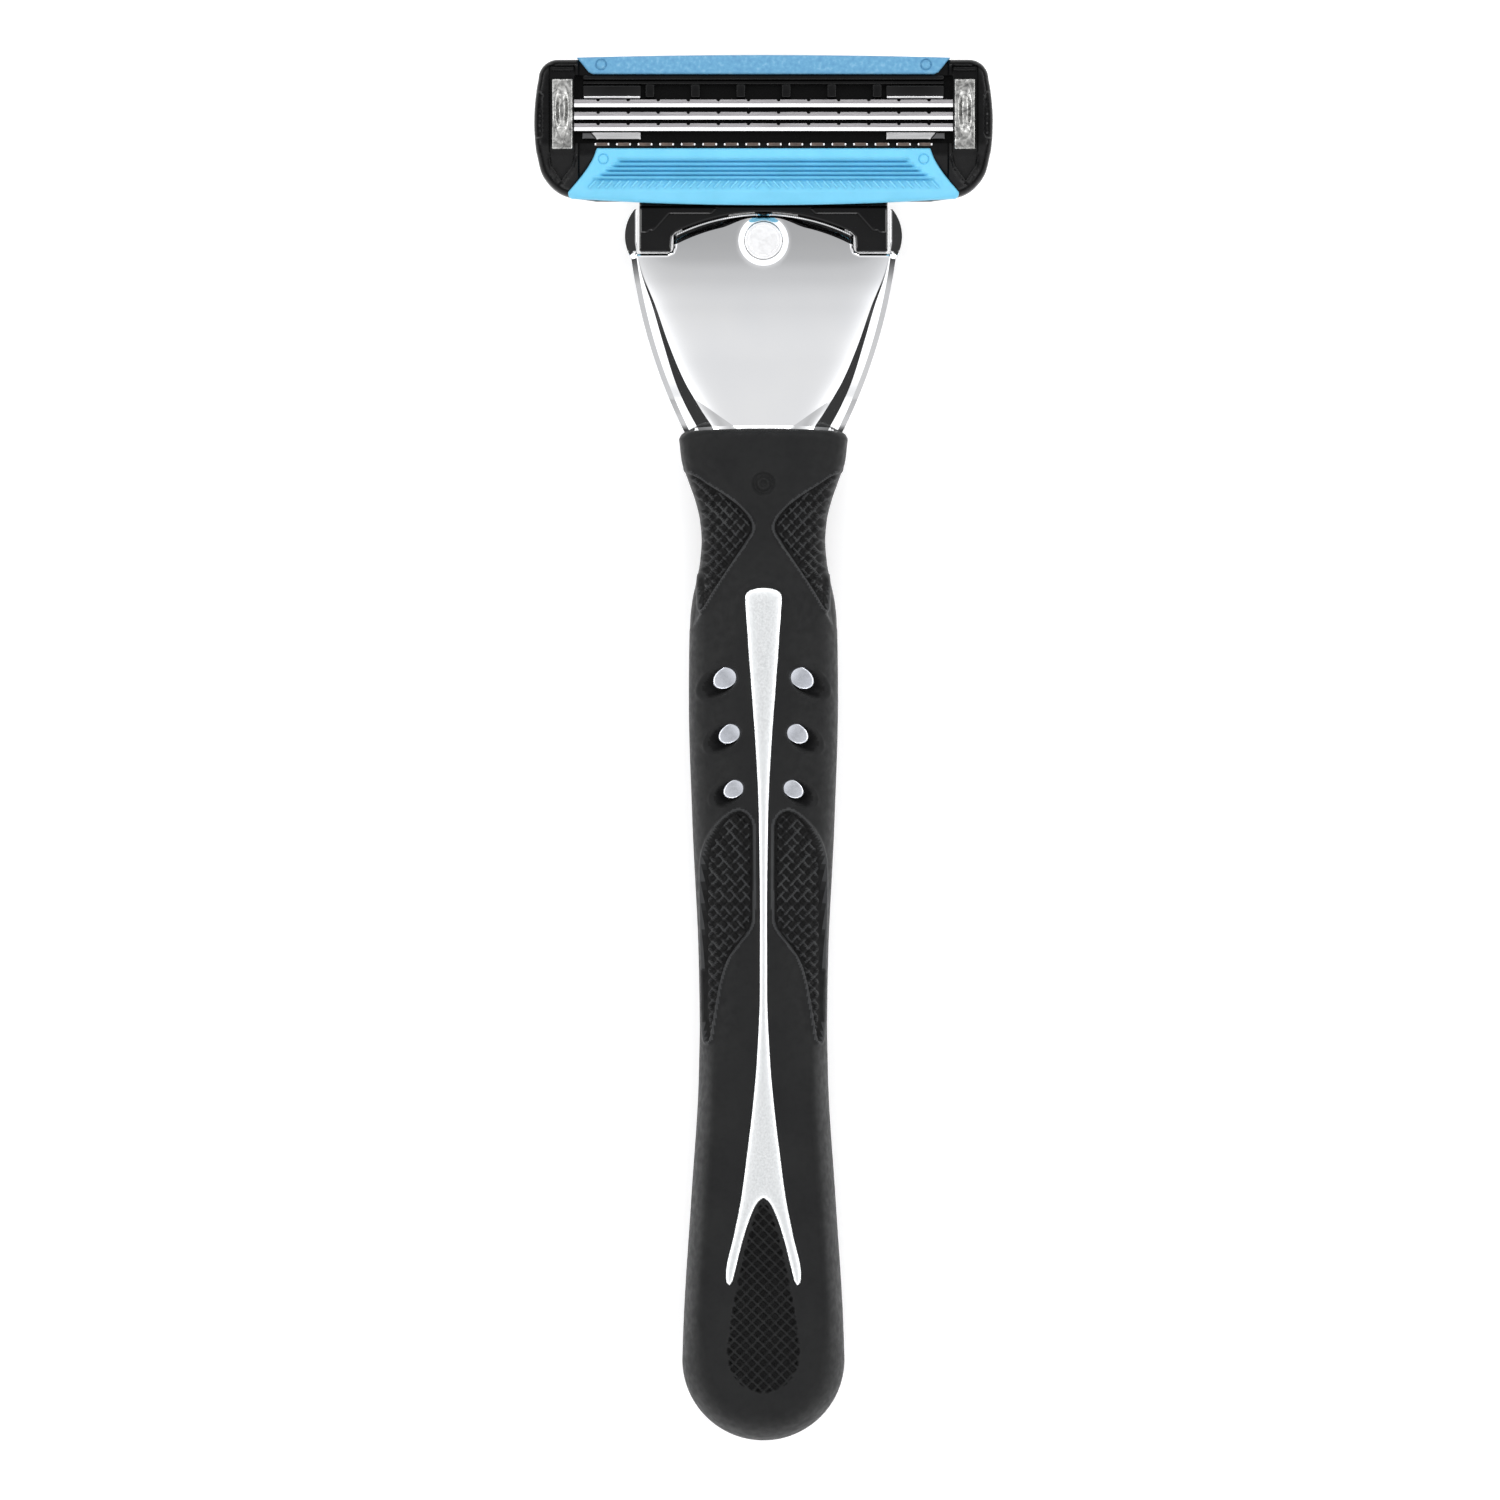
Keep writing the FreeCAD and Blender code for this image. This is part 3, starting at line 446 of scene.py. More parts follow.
def black_plastic(name, low, high, specular=0.16):
    """Moulded black plastic, glossy or dull."""
    return surface(name, (0.003, 0.003, 0.0032), low,
                   [(0.3, (0.0022, 0.0022, 0.0024)), (0.7, (0.0040, 0.0040, 0.0042))], (0.5, 3),
                   ((2.2, 4), (low, high)), ((10.0, 4), (0.004, 0.35)), specular=specular)


def steel(name, colour, low, high, grain=(0.2, 9, 1)):
    """Rolled steel with its grain along the part."""
    dark = tuple(0.90 * c for c in colour)
    return surface(name, colour, low, [(0.3, dark), (0.7, colour)], (1.2, 3, grain),
                   ((2.0, 4, grain), (low, high)), ((3.0, 4, grain), (0.002, 0.35)), metallic=1.0)


RUBBER = rubber("soft_grip_rubber", 1.0)
# Lighter copy of the rubber: painted highlight on knurl crests, rim lips and the shoulder facet.
RUBBER_PAINTED_HIGHLIGHT = rubber("grip_rubber_painted_highlight", 4.2)
# Darker copy of the rubber: painted shade in pits, moats, tail cells and dimples.
RUBBER_PAINTED_SHADE = rubber("grip_rubber_painted_shade", 0.15)
CHROME = surface("polished_chrome", (0.88, 0.89, 0.90), 0.04,
                 [(0.3, (0.86, 0.87, 0.885)), (0.7, (0.90, 0.905, 0.91))], (0.12, 2),
                 ((0.9, 4), (0.035, 0.075)), ((1.2, 3), (0.002, 0.05)), metallic=1.0)
SATIN = surface("satin_silver", (0.93, 0.955, 0.96), 0.34,
                [(0.3, (0.92, 0.945, 0.95)), (0.7, (0.95, 0.965, 0.97))], (0.6, 3, (3, 0.4, 1)),
                ((5.0, 4), (0.30, 0.38)), ((9.0, 4), (0.0012, 0.15)), metallic=1.0)
BLACK = black_plastic("black_moulding", 0.20, 0.32)
BLACK_SOFT = black_plastic("black_moulding_soft", 0.38, 0.55)
BLACK_DEEP = black_plastic("black_moulding_deep", 0.55, 0.7)
GUARD = surface("guard_rubber_blue", (0.155, 0.52, 0.74), 0.42,
                [(0.3, (0.145, 0.50, 0.71)), (0.7, (0.165, 0.54, 0.77))], (0.4, 4),
                ((3.0, 4), (0.34, 0.5)), ((8.0, 4), (0.006, 0.4)), specular=0.35,
                Subsurface_Weight=0.05, Subsurface_Scale=0.0006)
STRIP = surface("lubricant_blue", (0.10, 0.36, 0.60), 0.55,
                [(0.3, (0.085, 0.255, 0.44)), (0.55, (0.11, 0.31, 0.49)),
                 (0.74, (0.18, 0.38, 0.55))], (2.6, 5),
                ((3.5, 4), (0.45, 0.68)), ((5.0, 5), (0.015, 0.6)), specular=0.4)
# One blade steel in two copies: near white on the ground edge as painted highlight, dark on the
# body as painted grey reflection.
BLADE_EDGE_PAINTED_HIGHLIGHT = steel("ground_edge_painted_highlight", (0.97, 0.97, 0.98), 0.18, 0.3)
BLADE_BODY_PAINTED_REFLECTION = steel("blade_steel", (0.15, 0.145, 0.15), 0.24, 0.36)
SUPPORT = steel("support_steel", (0.16, 0.16, 0.165), 0.3, 0.45)
SPRING = steel("spring_wire", (0.55, 0.55, 0.56), 0.25, 0.4, (1, 1, 1))
CLIP = surface("rolled_aluminium", (0.74, 0.74, 0.72), 0.3,
               [(0.32, (0.13, 0.13, 0.13)), (0.5, (0.34, 0.34, 0.33)),
                (0.7, (0.56, 0.56, 0.545))], (1.6, 6, (1, 1, 1), 1.5),
               ((3.5, 5), (0.20, 0.45)), ((3.0, 6, (1, 1, 1), 2.0), (0.02, 0.6)), metallic=1.0)
BUTTON = surface("pearl_chrome", (0.95, 0.95, 0.955), 0.40,
                 [(0.3, (0.935, 0.935, 0.94)), (0.7, (0.96, 0.96, 0.965))], (0.5, 3),
                 ((4.0, 4), (0.38, 0.46)), ((9.0, 4), (0.002, 0.2)), metallic=1.0)
STUD = surface("stud_chrome", (0.80, 0.83, 0.90), 0.20,
               [(0.3, (0.77, 0.80, 0.87)), (0.7, (0.83, 0.86, 0.92))], (0.5, 3),
               ((4.0, 4), (0.17, 0.24)), ((9.0, 4), (0.001, 0.2)), metallic=1.0)
BLACK_GLOSS = black_plastic("black_moulding_gloss", 0.09, 0.14, 0.24)
COMB = surface("comb_bars", (0.07, 0.045, 0.035), 0.4,
               [(0.3, (0.045, 0.030, 0.025)), (0.7, (0.105, 0.070, 0.055))], (2.0, 3),
               ((4.0, 4), (0.32, 0.5)), ((10.0, 4), (0.004, 0.4)))
# Bright steel for the end flags; on the comb's end dots and the slab's lower edge it is a painted
# glint.
STEEL_AND_PAINTED_GLINT = steel("bright_steel_and_painted_glint", (0.86, 0.86, 0.87), 0.2, 0.32)


# ---- grip ------------------------------------------------------------------------------
TAIL_Y, TAIL_RADIUS = -56.75, 7.56
MID_Z = [(29.8, 6.4), (25.0, 5.8), (19.5, 5.4), (5.0, 5.5), (-25.0, 5.1), (TAIL_Y, 5.1)]
HALF_WIDTH = [(29.8, 7.98), (28.7, 7.83), (26.9, 7.62), (25.0, 7.0), (23.2, 6.37), (21.3, 5.93),
              (19.5, 5.79), (17.6, 5.93), (15.8, 6.26), (13.9, 6.66), (12.0, 6.86), (4.6, 6.95),
              (-6.5, 6.63), (-19.5, 6.03), (-25.0, 5.93), (-30.6, 6.03), (-41.7, 6.72),
              (-52.8, 7.42), (TAIL_Y, TAIL_RADIUS)]
FRONT_Z = [(29.8, 11.3), (25.0, 11.1), (19.5, 10.7), (13.9, 11.15), (5.0, 11.35), (-12.0, 10.9),
           (-25.0, 10.4), (-38.0, 10.4), (-50.0, 10.5), (TAIL_Y, 10.4)]
BACK_Z = [(29.8, 1.5), (25.0, 0.5), (19.5, 0.0), (13.9, -0.4), (5.0, -0.5), (TAIL_Y, -0.5)]
SECTION_POWER = [(29.8, 4.6), (27.0, 4.2), (20.0, 2.6), (TAIL_Y, 2.6)]
FACET_TOP_Y, FACET_FULL_Y = -20.0, -33.0
UPPER_PATCH = [(1.09, 20.7), (1.9, 22.15), (3.1, 23.2), (4.9, 24.4), (6.9, 25.6), (9.0, 25.4),
               (9.0, 18.0), (6.15, 16.6), (5.98, 14.8), (5.86, 13.05), (4.6, 15.0), (3.1, 17.3),
               (1.75, 19.3)]
MIDDLE_PATCH = [(1.2, -6.6), (2.1, -5.75), (3.2, -6.15), (4.5, -7.6), (5.35, -9.6), (5.55, -12.5),
                (5.55, -20.0), (5.5, -25.0), (5.1, -27.0), (4.55, -24.0), (4.1, -21.5),
                (3.4, -19.4), (2.2, -17.7), (1.25, -16.3), (1.07, -14.5), (1.07, -8.5)]
TAIL_PATCH_RIGHT = [(0.0, -59.75), (1.5, -59.35), (2.7, -58.3), (3.25, -56.9), (3.33, -55.4),
                    (3.0, -52.6), (2.5, -49.9), (2.05, -47.7), (1.5, -45.5), (0.85, -43.3),
                    (0.35, -42.2), (0.0, -41.95)]
KNURL_PITCH = 0.765
SHOULDER = np.array([(6.15, 19.0), (6.05, 16.6), (5.98, 14.8), (5.70, 12.75), (6.05, 12.2),
                     (6.6, 11.2), (7.4, 11.2), (7.4, 19.0)])
STUDS = [(1, 3.40, 6.75, 1.20), (2, 3.00, 1.58, 1.10), (3, 2.63, -3.56, 1.03)]
DIMPLE_TURN = math.radians(-34)
TRIM_EDGE = [(14.92, 1.15), (14.75, 1.52), (14.35, 1.78), (13.6, 1.76), (10.2, 1.50), (-6.5, 0.48),
             (-17.0, 0.38), (-22.0, 0.38), (-28.7, 0.65), (-33.0, 1.03), (-37.6, 1.58),
             (-41.5, 2.10), (-45.0, 2.78), (-48.7, 3.53), (-49.5, 3.45), (-49.75, 3.15)]
TRIM_CROTCH = [(-49.3, 2.82), (-48.0, 2.50), (-45.6, 1.90), (-42.9, 0.98), (-41.95, 0.45),
               (-41.6, 0.0)]


def silhouette_depth(x, y):
    """Distance in from the grip's plan outline."""
    body = at(y, HALF_WIDTH) - np.abs(x)
    tail = TAIL_RADIUS - np.hypot(x, y - TAIL_Y)
    return np.where(y >= TAIL_Y, body, tail)


def front_height(x, y):
    """The grip's front surface: full and round above, a flat facet with a bevel below."""
    depth = np.maximum(silhouette_depth(x, y), 0)
    half = at(y, HALF_WIDTH)
    middle, top = at(y, MID_Z), at(y, FRONT_Z)
    across = np.clip(1 - depth / half, 0, 1)
    power = at(y, SECTION_POWER)
    round_form = (1 - across ** power) ** (1 / power)
    inset = 1.65 + 0.8 * ramp(-y, 52.0, 60.0)
    bevel = np.clip(1 - depth / inset, 0, 1)
    crown = 1 - 0.022 * np.clip(1 - (depth - inset) / (half - inset), 0, 1) ** 2
    facet_form = crown * (1 - bevel ** 1.5) ** (1 / 2.0)
    share = ramp(-y, -FACET_TOP_Y, -FACET_FULL_Y)
    return middle + (top - middle) * ((1 - share) * round_form + share * facet_form)


def back_height(x, y):
    """The grip's back surface, with the flat it rests on."""
    depth = np.maximum(silhouette_depth(x, y), 0)
    half = at(y, HALF_WIDTH)
    middle, low = at(y, MID_Z), at(y, BACK_Z)
    across = np.clip(1 - depth / half, 0, 1)
    power = at(y, SECTION_POWER)
    return np.maximum(middle + (low - middle) * (1 - across ** power) ** (1 / power), 0)


def knurl(x, y, ridge, depth):
    """A net of narrow ridges at 45 degrees round square pits, each with a small bead inside."""
    u = (x + y) / math.sqrt(2) / KNURL_PITCH
    v = (x - y) / math.sqrt(2) / KNURL_PITCH
    du, dv = np.abs(u - np.round(u)), np.abs(v - np.round(v))
    to_ridge = np.minimum(du, dv) * KNURL_PITCH
    wall = ramp(to_ridge, ridge, ridge + 0.11)
    from_centre = np.hypot(0.5 - du, 0.5 - dv) * KNURL_PITCH
    return -depth * wall + 0.10 * np.exp(-(from_centre / 0.09) ** 2)


def trim_outline():
    """The silver trim's outline, forked at its lower end."""
    ys = np.concatenate([[14.92, 14.84, 14.66, 14.3], np.arange(13.8, -48.8, -0.5),
                         [-48.9, -49.2, -49.45, -49.65, -49.75]])
    right = np.column_stack([at(ys, TRIM_EDGE), ys])
    right[-1, 0] = 3.1
    inner_ys = np.concatenate([np.arange(-49.3, -42.0, 0.35), [-41.9, -41.72, -41.63, -41.6]])
    inner = np.column_stack([at(inner_ys, TRIM_CROTCH), inner_ys])
    path = np.vstack([[(0, 15.12), (0.6, 15.07)], right, inner])
    return np.vstack([path, path[::-1][1:] * [-1, 1]])


def grip_relief(x, y):
    """Height added to the grip's front, and its painted light: 1 for painted highlight on knurl
    crests, rim lips and the shoulder facet, -1 for painted shade in pits, moats, tail cells and
    dimples.
    """
    ax = np.abs(x)
    height, painted_light = np.zeros(x.shape), np.zeros(x.shape)
    for outline, low, high, pocket in ((through(UPPER_PATCH, 8, True), 12.0, 27.0, 0.16),
                                       (through(MIDDLE_PATCH, 8, True), -28.0, -5.0, 0.14)):
        rows = (y[:, 0] > low) & (y[:, 0] < high)
        d = depth_inside(ax[rows], y[rows], [outline])
        lip = 0.24 * ramp(d, -0.50, -0.22) * (1 - ramp(d, -0.20, 0.02))
        sunk = ramp(d, -0.16, 0.04)
        moat = 0.30 * np.exp(-((d - 0.10) / 0.12) ** 2)
        net = knurl(x[rows], y[rows], 0.03, 0.34)
        height[rows] += lip - moat + sunk * (-pocket + net * ramp(d, 0.14, 0.30))
        # Painted highlight on the knurl crests and the rim lips; painted shade in the pocket's
        # moat and pits.
        crest = (net > -0.11) & (d > 0.16)
        painted_light[rows] += np.where(crest | (np.abs(d + 0.20) < 0.10), 1, 0)
        painted_light[rows] -= np.where((d > -0.02) & ~crest, 1, 0)
    rows = (y[:, 0] > -60.5) & (y[:, 0] < -41.0)
    d = depth_inside(x[rows], y[rows], [mirrored_loop(through(TAIL_PATCH_RIGHT, 6))])
    net = knurl(x[rows], y[rows] + 0.12, 0.05, 0.40)
    height[rows] += ramp(d, 0.0, 0.12) * net
    # Painted shade in the tail knurl's deep cells.
    painted_light[rows] -= np.where((net < -0.20) & (d > 0.05), 1, 0)
    for _, sx, sy, radius in STUDS:
        cx, cy = sx + 0.62 * radius, sy - 0.42 * radius
        u = (ax - cx) * math.cos(DIMPLE_TURN) + (y - cy) * math.sin(DIMPLE_TURN)
        v = (y - cy) * math.cos(DIMPLE_TURN) - (ax - cx) * math.sin(DIMPLE_TURN)
        reach = np.hypot(u / (1.72 * radius), v / (1.06 * radius))
        height -= 1.45 * (1 - ramp(reach, 0.45, 1.04))
        # Painted shade in the bowl of each stud's dimple.
        painted_light -= np.where(reach < 0.86, 1, 0)
        height += 0.07 * np.exp(-((reach - 1.10) / 0.07) ** 2)
    rows = (y[:, 0] > -51.0) & (y[:, 0] < 17.0)
    d = depth_inside(x[rows], y[rows], [trim_outline()])
    height[rows] -= 0.45 * ramp(d, -0.07, 0.12)
    from_gate = np.hypot(x, y - 24.7)
    height -= 0.34 * np.exp(-((from_gate - 0.84) / 0.19) ** 2)
    height -= 0.22 * (1 - ramp(from_gate, 0.15, 0.42))
    height += 0.10 * np.exp(-((from_gate - 0.46) / 0.10) ** 2)
    hump = np.hypot(x / 3.2, (y - 12.2) / 4.2)
    height += 0.30 * (1 - ramp(hump, 0.80, 1.12)) * ramp(y, 9.0, 13.0)
    shoulder = depth_inside(ax, y, [SHOULDER])
    height -= 0.40 * ramp(shoulder, -0.05, 0.55)
    # Painted highlight on the sunk shoulder facet, where the light catches it.
    painted_light += np.where((shoulder > 0.02) & (painted_light == 0), 1, 0)
    height -= 0.16 * (1 - ramp(np.abs(y - 19.0), 1.5, 7.0)) * (1 - ramp(ax, 0.5, 2.6))
    return height, painted_light


def grip_rows():
    """Stations along the grip, closer together where it has fine relief."""
    stretches = [(28.9, 27.0, 0.30), (27.0, 12.4, 0.135), (12.4, 9.0, 0.25), (9.0, -5.2, 0.16),
                 (-5.2, -27.8, 0.135), (-27.8, -41.5, 0.40), (-41.5, -60.2, 0.135)]
    rows = [np.arange(start, end, -step) for start, end, step in stretches]
    tail_angles = np.linspace(math.asin(3.5 / TAIL_RADIUS), 1.555, 22)
    rows.append(TAIL_Y - TAIL_RADIUS * np.sin(tail_angles))
    return np.concatenate(rows)


def grip_shares():
    """Places across the grip from one side to the other, -1 to 1, finest over the front."""
    flank = np.cos(np.radians(np.linspace(0, 30, 13)))[:-1] ** 0.77
    limit = math.cos(math.radians(30)) ** 0.77
    return np.concatenate([-flank, np.linspace(-limit, limit, 94), flank[::-1]])


def make_grip():
    """The rubber overmould as one closed skin."""
    across = grip_shares()
    back = -np.cos(np.linspace(0, math.pi, 34))[1:-1][::-1]
    ys = grip_rows()
    half = np.where(ys >= TAIL_Y, at(ys, HALF_WIDTH),
                    np.sqrt(np.maximum(TAIL_RADIUS ** 2 - (ys - TAIL_Y) ** 2, 0)))
    fx, fy = half[:, None] * across[None, :], np.repeat(ys[:, None], len(across), axis=1)
    fz = front_height(fx, fy)
    bx, by = half[:, None] * back[None, :], np.repeat(ys[:, None], len(back), axis=1)
    bz = back_height(bx, by)
    x, y, z = np.hstack([fx, bx]), np.hstack([fy, by]), np.hstack([fz, bz])
    grid = np.stack([x, y, z], axis=2)
    along = np.gradient(grid, axis=0)
    around = np.roll(grid, -1, axis=1) - np.roll(grid, 1, axis=1)
    normal = np.cross(around, along)
    normal /= np.maximum(np.linalg.norm(normal, axis=2), 1e-9)[:, :, None]
    outward = normal[:, :, 2] * np.where(np.arange(grid.shape[1]) < len(across), 1, -1)
    normal *= np.where(np.median(outward) < 0, -1, 1)
    relief, painted_light = np.zeros(x.shape), np.zeros(x.shape)
    relief[:, :len(across)], painted_light[:, :len(across)] = grip_relief(fx, fy)
    relief[:, :len(across)] *= 1 - 0.8 * ramp(np.abs(across), 0.88, 1.0)
    painted_light[:, :len(across)] *= np.abs(across) < 0.95
    grid = grid + normal * relief[:, :, None]
    grid[:, :, 2] = np.maximum(grid[:, :, 2], 0)
    collar = []
    for angle in (75, 50, 25, 0):
        lift = 0.85 * math.cos(math.radians(angle))
        inset = 0.85 * (1 - math.sin(math.radians(angle)))
        collar.append(collar_ring(grid[0], ys[0] + lift, inset))
    collar = collar[::-1]
    collar.insert(0, collar_ring(grid[0], ys[0] + 0.85, 1.9))
    collar.insert(0, collar_ring(grid[0], ys[0] + 0.2, 2.2))
    full = np.concatenate([np.array(collar), grid], axis=0)
    rows, columns = full.shape[:2]
    index = np.arange(rows * columns).reshape(rows, columns)
    right = np.roll(index, -1, axis=1)
    faces = np.stack([index[:-1], right[:-1], right[1:], index[1:]], axis=2).reshape(-1, 4)
    faces = [tuple(f) for f in faces]
    faces.append(tuple(index[0][::-1]))
    faces.append(tuple(index[-1]))
    # Each face takes the plain rubber, its lighter painted-highlight copy or its darker
    # painted-shade copy, from the mean painted light of its corners.
    tones = np.vstack([np.zeros((len(collar), columns)), painted_light])
    mean = (tones[:-1] + tones[1:] + np.roll(tones[:-1], -1, axis=1)
            + np.roll(tones[1:], -1, axis=1)).ravel() / 4
    painted_light_kinds = np.concatenate([np.where(mean > 0.49, 1, np.where(mean < -0.49, 2, 0)), [0, 0]])
    return make_piece("grip_overmould", [(full.reshape(-1, 3), faces, painted_light_kinds)],
                      [RUBBER, RUBBER_PAINTED_HIGHLIGHT, RUBBER_PAINTED_SHADE], "handle", ["grip"], 180)


def collar_ring(ring, y, inset):
    """The grip's first ring again, moved along and shrunk by an even inset."""
    out = ring.copy()
    centre = np.array([0, at(ring[0, 1], MID_Z)])
    offset = out[:, [0, 2]] - centre
    length = np.maximum(np.linalg.norm(offset, axis=1), 1e-6)
    shrink = (length - inset) / length
    out[:, 0] = centre[0] + offset[:, 0] * shrink
    out[:, 2] = np.maximum(centre[1] + offset[:, 1] * shrink, ring[:, 2].min())
    out[:, 1] = y + 0.25 * (1 - (ring[:, 0] / 8.0) ** 2) - 0.15
    return out


def make_trim():
    """The silver inlay, a shallow crown a little proud of the rubber."""
    def top(x, y, depth):
        crown = 0.10 * (1 - np.exp(-depth / 0.4))
        return front_height(x, y) + 0.10 + crown - 0.7 * rounding(depth, 0.20)

    def bottom(x, y, depth):
        return front_height(x, y) - 1.0

    part = plaque(trim_outline(), top, bottom, step=0.22, rings=(0.04, 0.10, 0.19), edge=0.18)
    return make_piece("silver_trim", [part], SATIN, "handle", ["accent_trim"], 50)


def make_studs():
    """Six small polished ovals, highest towards the trim and falling away outwards."""
    for number, cx, cy, radius in STUDS:
        base = float(front_height(np.array([cx]), np.array([cy]))[0]) - 0.22
        for side, word in ((1, "right"), (-1, "left")):
            oval = circle(0, 0, 1.0, 56) * [1.15 * radius, 0.80 * radius]
            turn = np.array([[math.cos(DIMPLE_TURN), math.sin(DIMPLE_TURN)],
                             [-math.sin(DIMPLE_TURN), math.cos(DIMPLE_TURN)]])
            outline = ((oval @ turn) + [cx, cy]) * [side, 1]

            def top(x, y, depth, cx=cx, cy=cy, base=base):
                u = ((np.abs(x) - cx) * math.cos(DIMPLE_TURN) + (y - cy) * math.sin(DIMPLE_TURN))
                face = 0.02 * u - 0.085 * u ** 2 + 0.022 * u ** 3
                return base + face - rounding(depth, 0.12)

            part = plaque(outline[::side], top, flat(8.9), (), 0.14,
                          (0.03, 0.07, 0.115), 0.14)
            make_piece(f"stud_{number}_{word}", [part], STUD, "handle",
                       [f"grip_stud_{number}_{word}"], 50)


# ---- neck ------------------------------------------------------------------------------
NECK_BASE = (7.0, 28.9)
NECK_SIDE_MID = (10.35, 37.0)
NECK_SHOULDER = (12.25, 45.6)
EAR_PEAK = (12.84, 47.4)
EAR_TOP = (11.95, 50.1)
NOTCH_X = (8.35, 11.75)
NOTCH_Y = 46.0
BROW_END = (8.35, 47.75)
BROW_PEAK_Y = 49.73
POCKET_HALF, POCKET_LOW_Y, COVER_TOP_Y = 7.6, 38.0, 46.6
WALL_LOW_Y, WALL_TOP_Z, MOUTH_Z = 36.0, 8.4, 5.5
BUTTON_Y, BORE_RADIUS = 47.2, 1.79
FACE_Z = [(28.9, 9.80), (30.0, 10.02), (36.0, 11.22), (41.0, 12.20), (43.5, 12.60),
          (45.5, 12.80), (47.5, 12.90), (50.0, 12.95)]
BAND_IN = [(28.9, 4.2), (30.0, 4.75), (31.2, 5.55), (32.75, 6.50), (34.2, 7.32), (37.7, 8.80),
           (41.2, 10.02), (44.2, 11.22), (45.6, 11.58), (47.0, 11.8)]
BAND_OUT = [(28.9, 5.6), (30.0, 6.17), (32.0, 7.25), (34.2, 8.20), (37.7, 9.30), (41.2, 10.32),
            (44.2, 11.34), (45.6, 11.66), (47.0, 11.9)]
BAND_SLOPE, RAIL_SLOPE, EAR_SLOPE = 0.56, 0.36, 0.38
CHAMFER_SLOPE = [(28.9, 0.33), (33.0, 0.35), (36.0, 0.40), (46.0, 0.43)]
CHAMFER, BEAD = 0.50, 0.20


def back_plane(y):
    """Height of the neck's back at y."""
    return 2.2 + (y - 28.9) * (5.4 - 2.2) / (51.0 - 28.9)


def neck_side():
    """The neck's right edge, from its root to the tip of the ear."""
    return np.vstack([arc_through(NECK_BASE, NECK_SIDE_MID, NECK_SHOULDER, 60),
                      arc_through(NECK_SHOULDER, EAR_PEAK, EAR_TOP, 20)[1:]])


def neck_brow():
    """The neck's curved top edge."""
    return arc_through(BROW_END, (0, BROW_PEAK_Y), (-BROW_END[0], BROW_END[1]), 90)


def neck_plan():
    """The whole outline, a fan with a notch each side of the brow."""
    x0, x1 = NOTCH_X
    corner = [(x0 + 0.6 - 0.6 * math.sin(a), NOTCH_Y + 0.6 - 0.6 * math.cos(a))
              for a in np.linspace(0, math.pi / 2, 7)]
    brow = neck_brow()
    half = brow[:len(brow) // 2]
    right = np.vstack([neck_side(), [(x1, EAR_TOP[1]), (x1, NOTCH_Y)], corner, half])
    return mirrored_loop(right)


def to_line(x, y, line):
    """Distance to an open line."""
    best = np.full(np.shape(x), np.inf)
    for (ax, ay), (bx, by) in zip(line[:-1], line[1:]):
        ex, ey = bx - ax, by - ay
        t = np.clip(((x - ax) * ex + (y - ay) * ey) / (ex * ex + ey * ey), 0, 1)
        best = np.minimum(best, np.hypot(x - ax - t * ex, y - ay - t * ey))
    return best


def beyond(value):
    """The value where it is positive, zero elsewhere: a hard crease."""
    return np.maximum(value, 0)


def side_half_width(y):
    """Half the neck's width at y, below the ears."""
    side = neck_side()[:60]
    return np.interp(y, side[:, 1], side[:, 0])


def brow_band(x):
    """Width of the dark bevel behind the brow's bead; the button's boss narrows it."""
    return 0.92 - 0.50 * (1 - ramp(np.abs(x), 1.2, 4.2))


def neck_front(x, y, depth):
    """The central face, the dark flanks beside it, the rails, the brow and the button's boss."""
    ax = np.abs(x)
    brow = neck_brow()
    notch = np.array([(11.75, NOTCH_Y), (8.95, NOTCH_Y), (8.5, 46.2),
                      (8.35, 46.6), BROW_END])
    band_in, band_out = at(y, BAND_IN), at(y, BAND_OUT)
    height = at(y, FACE_Z) - 0.22 * (ax / band_in).clip(0, 1) ** 8
    height -= BAND_SLOPE * beyond(ax - band_in)
    height += (BAND_SLOPE - RAIL_SLOPE) * beyond(ax - band_out)
    height -= at(y, CHAMFER_SLOPE) * beyond(ax - side_half_width(y) + CHAMFER) * (y < 45.6)
    height += 0.17 * beyond(30.0 + (np.minimum(ax, band_in) - 2.66) * 0.70 - y)
    root = 30.14 - 0.30 * (ax / 7.5) ** 2
    height += 0.62 * beyond(root - y) * (ax < 6.4)
    to_brow = to_line(x, y, brow)
    to_boss = np.hypot(x, y - BUTTON_Y) - BORE_RADIUS
    brow_drop = 0.80 * (beyond(brow_band(x) - to_brow) - beyond(BEAD - to_brow))
    height -= brow_drop * (1 - ramp(ax, 8.3, 9.2))
    height -= rounding(to_brow, 0.12) + rounding(to_line(ax, y, notch), 0.36)
    height -= EAR_SLOPE * beyond(ax - 11.75) * ramp(y, 45.7, 46.3)
    boss = 1 - ramp(to_boss, 0.30, 0.62)
    height = height * (1 - boss) + (at(y, FACE_Z) + 0.03) * boss
    return height + 0.17 * np.exp(-(to_boss / 0.33) ** 2) - rounding(to_boss, 0.05)


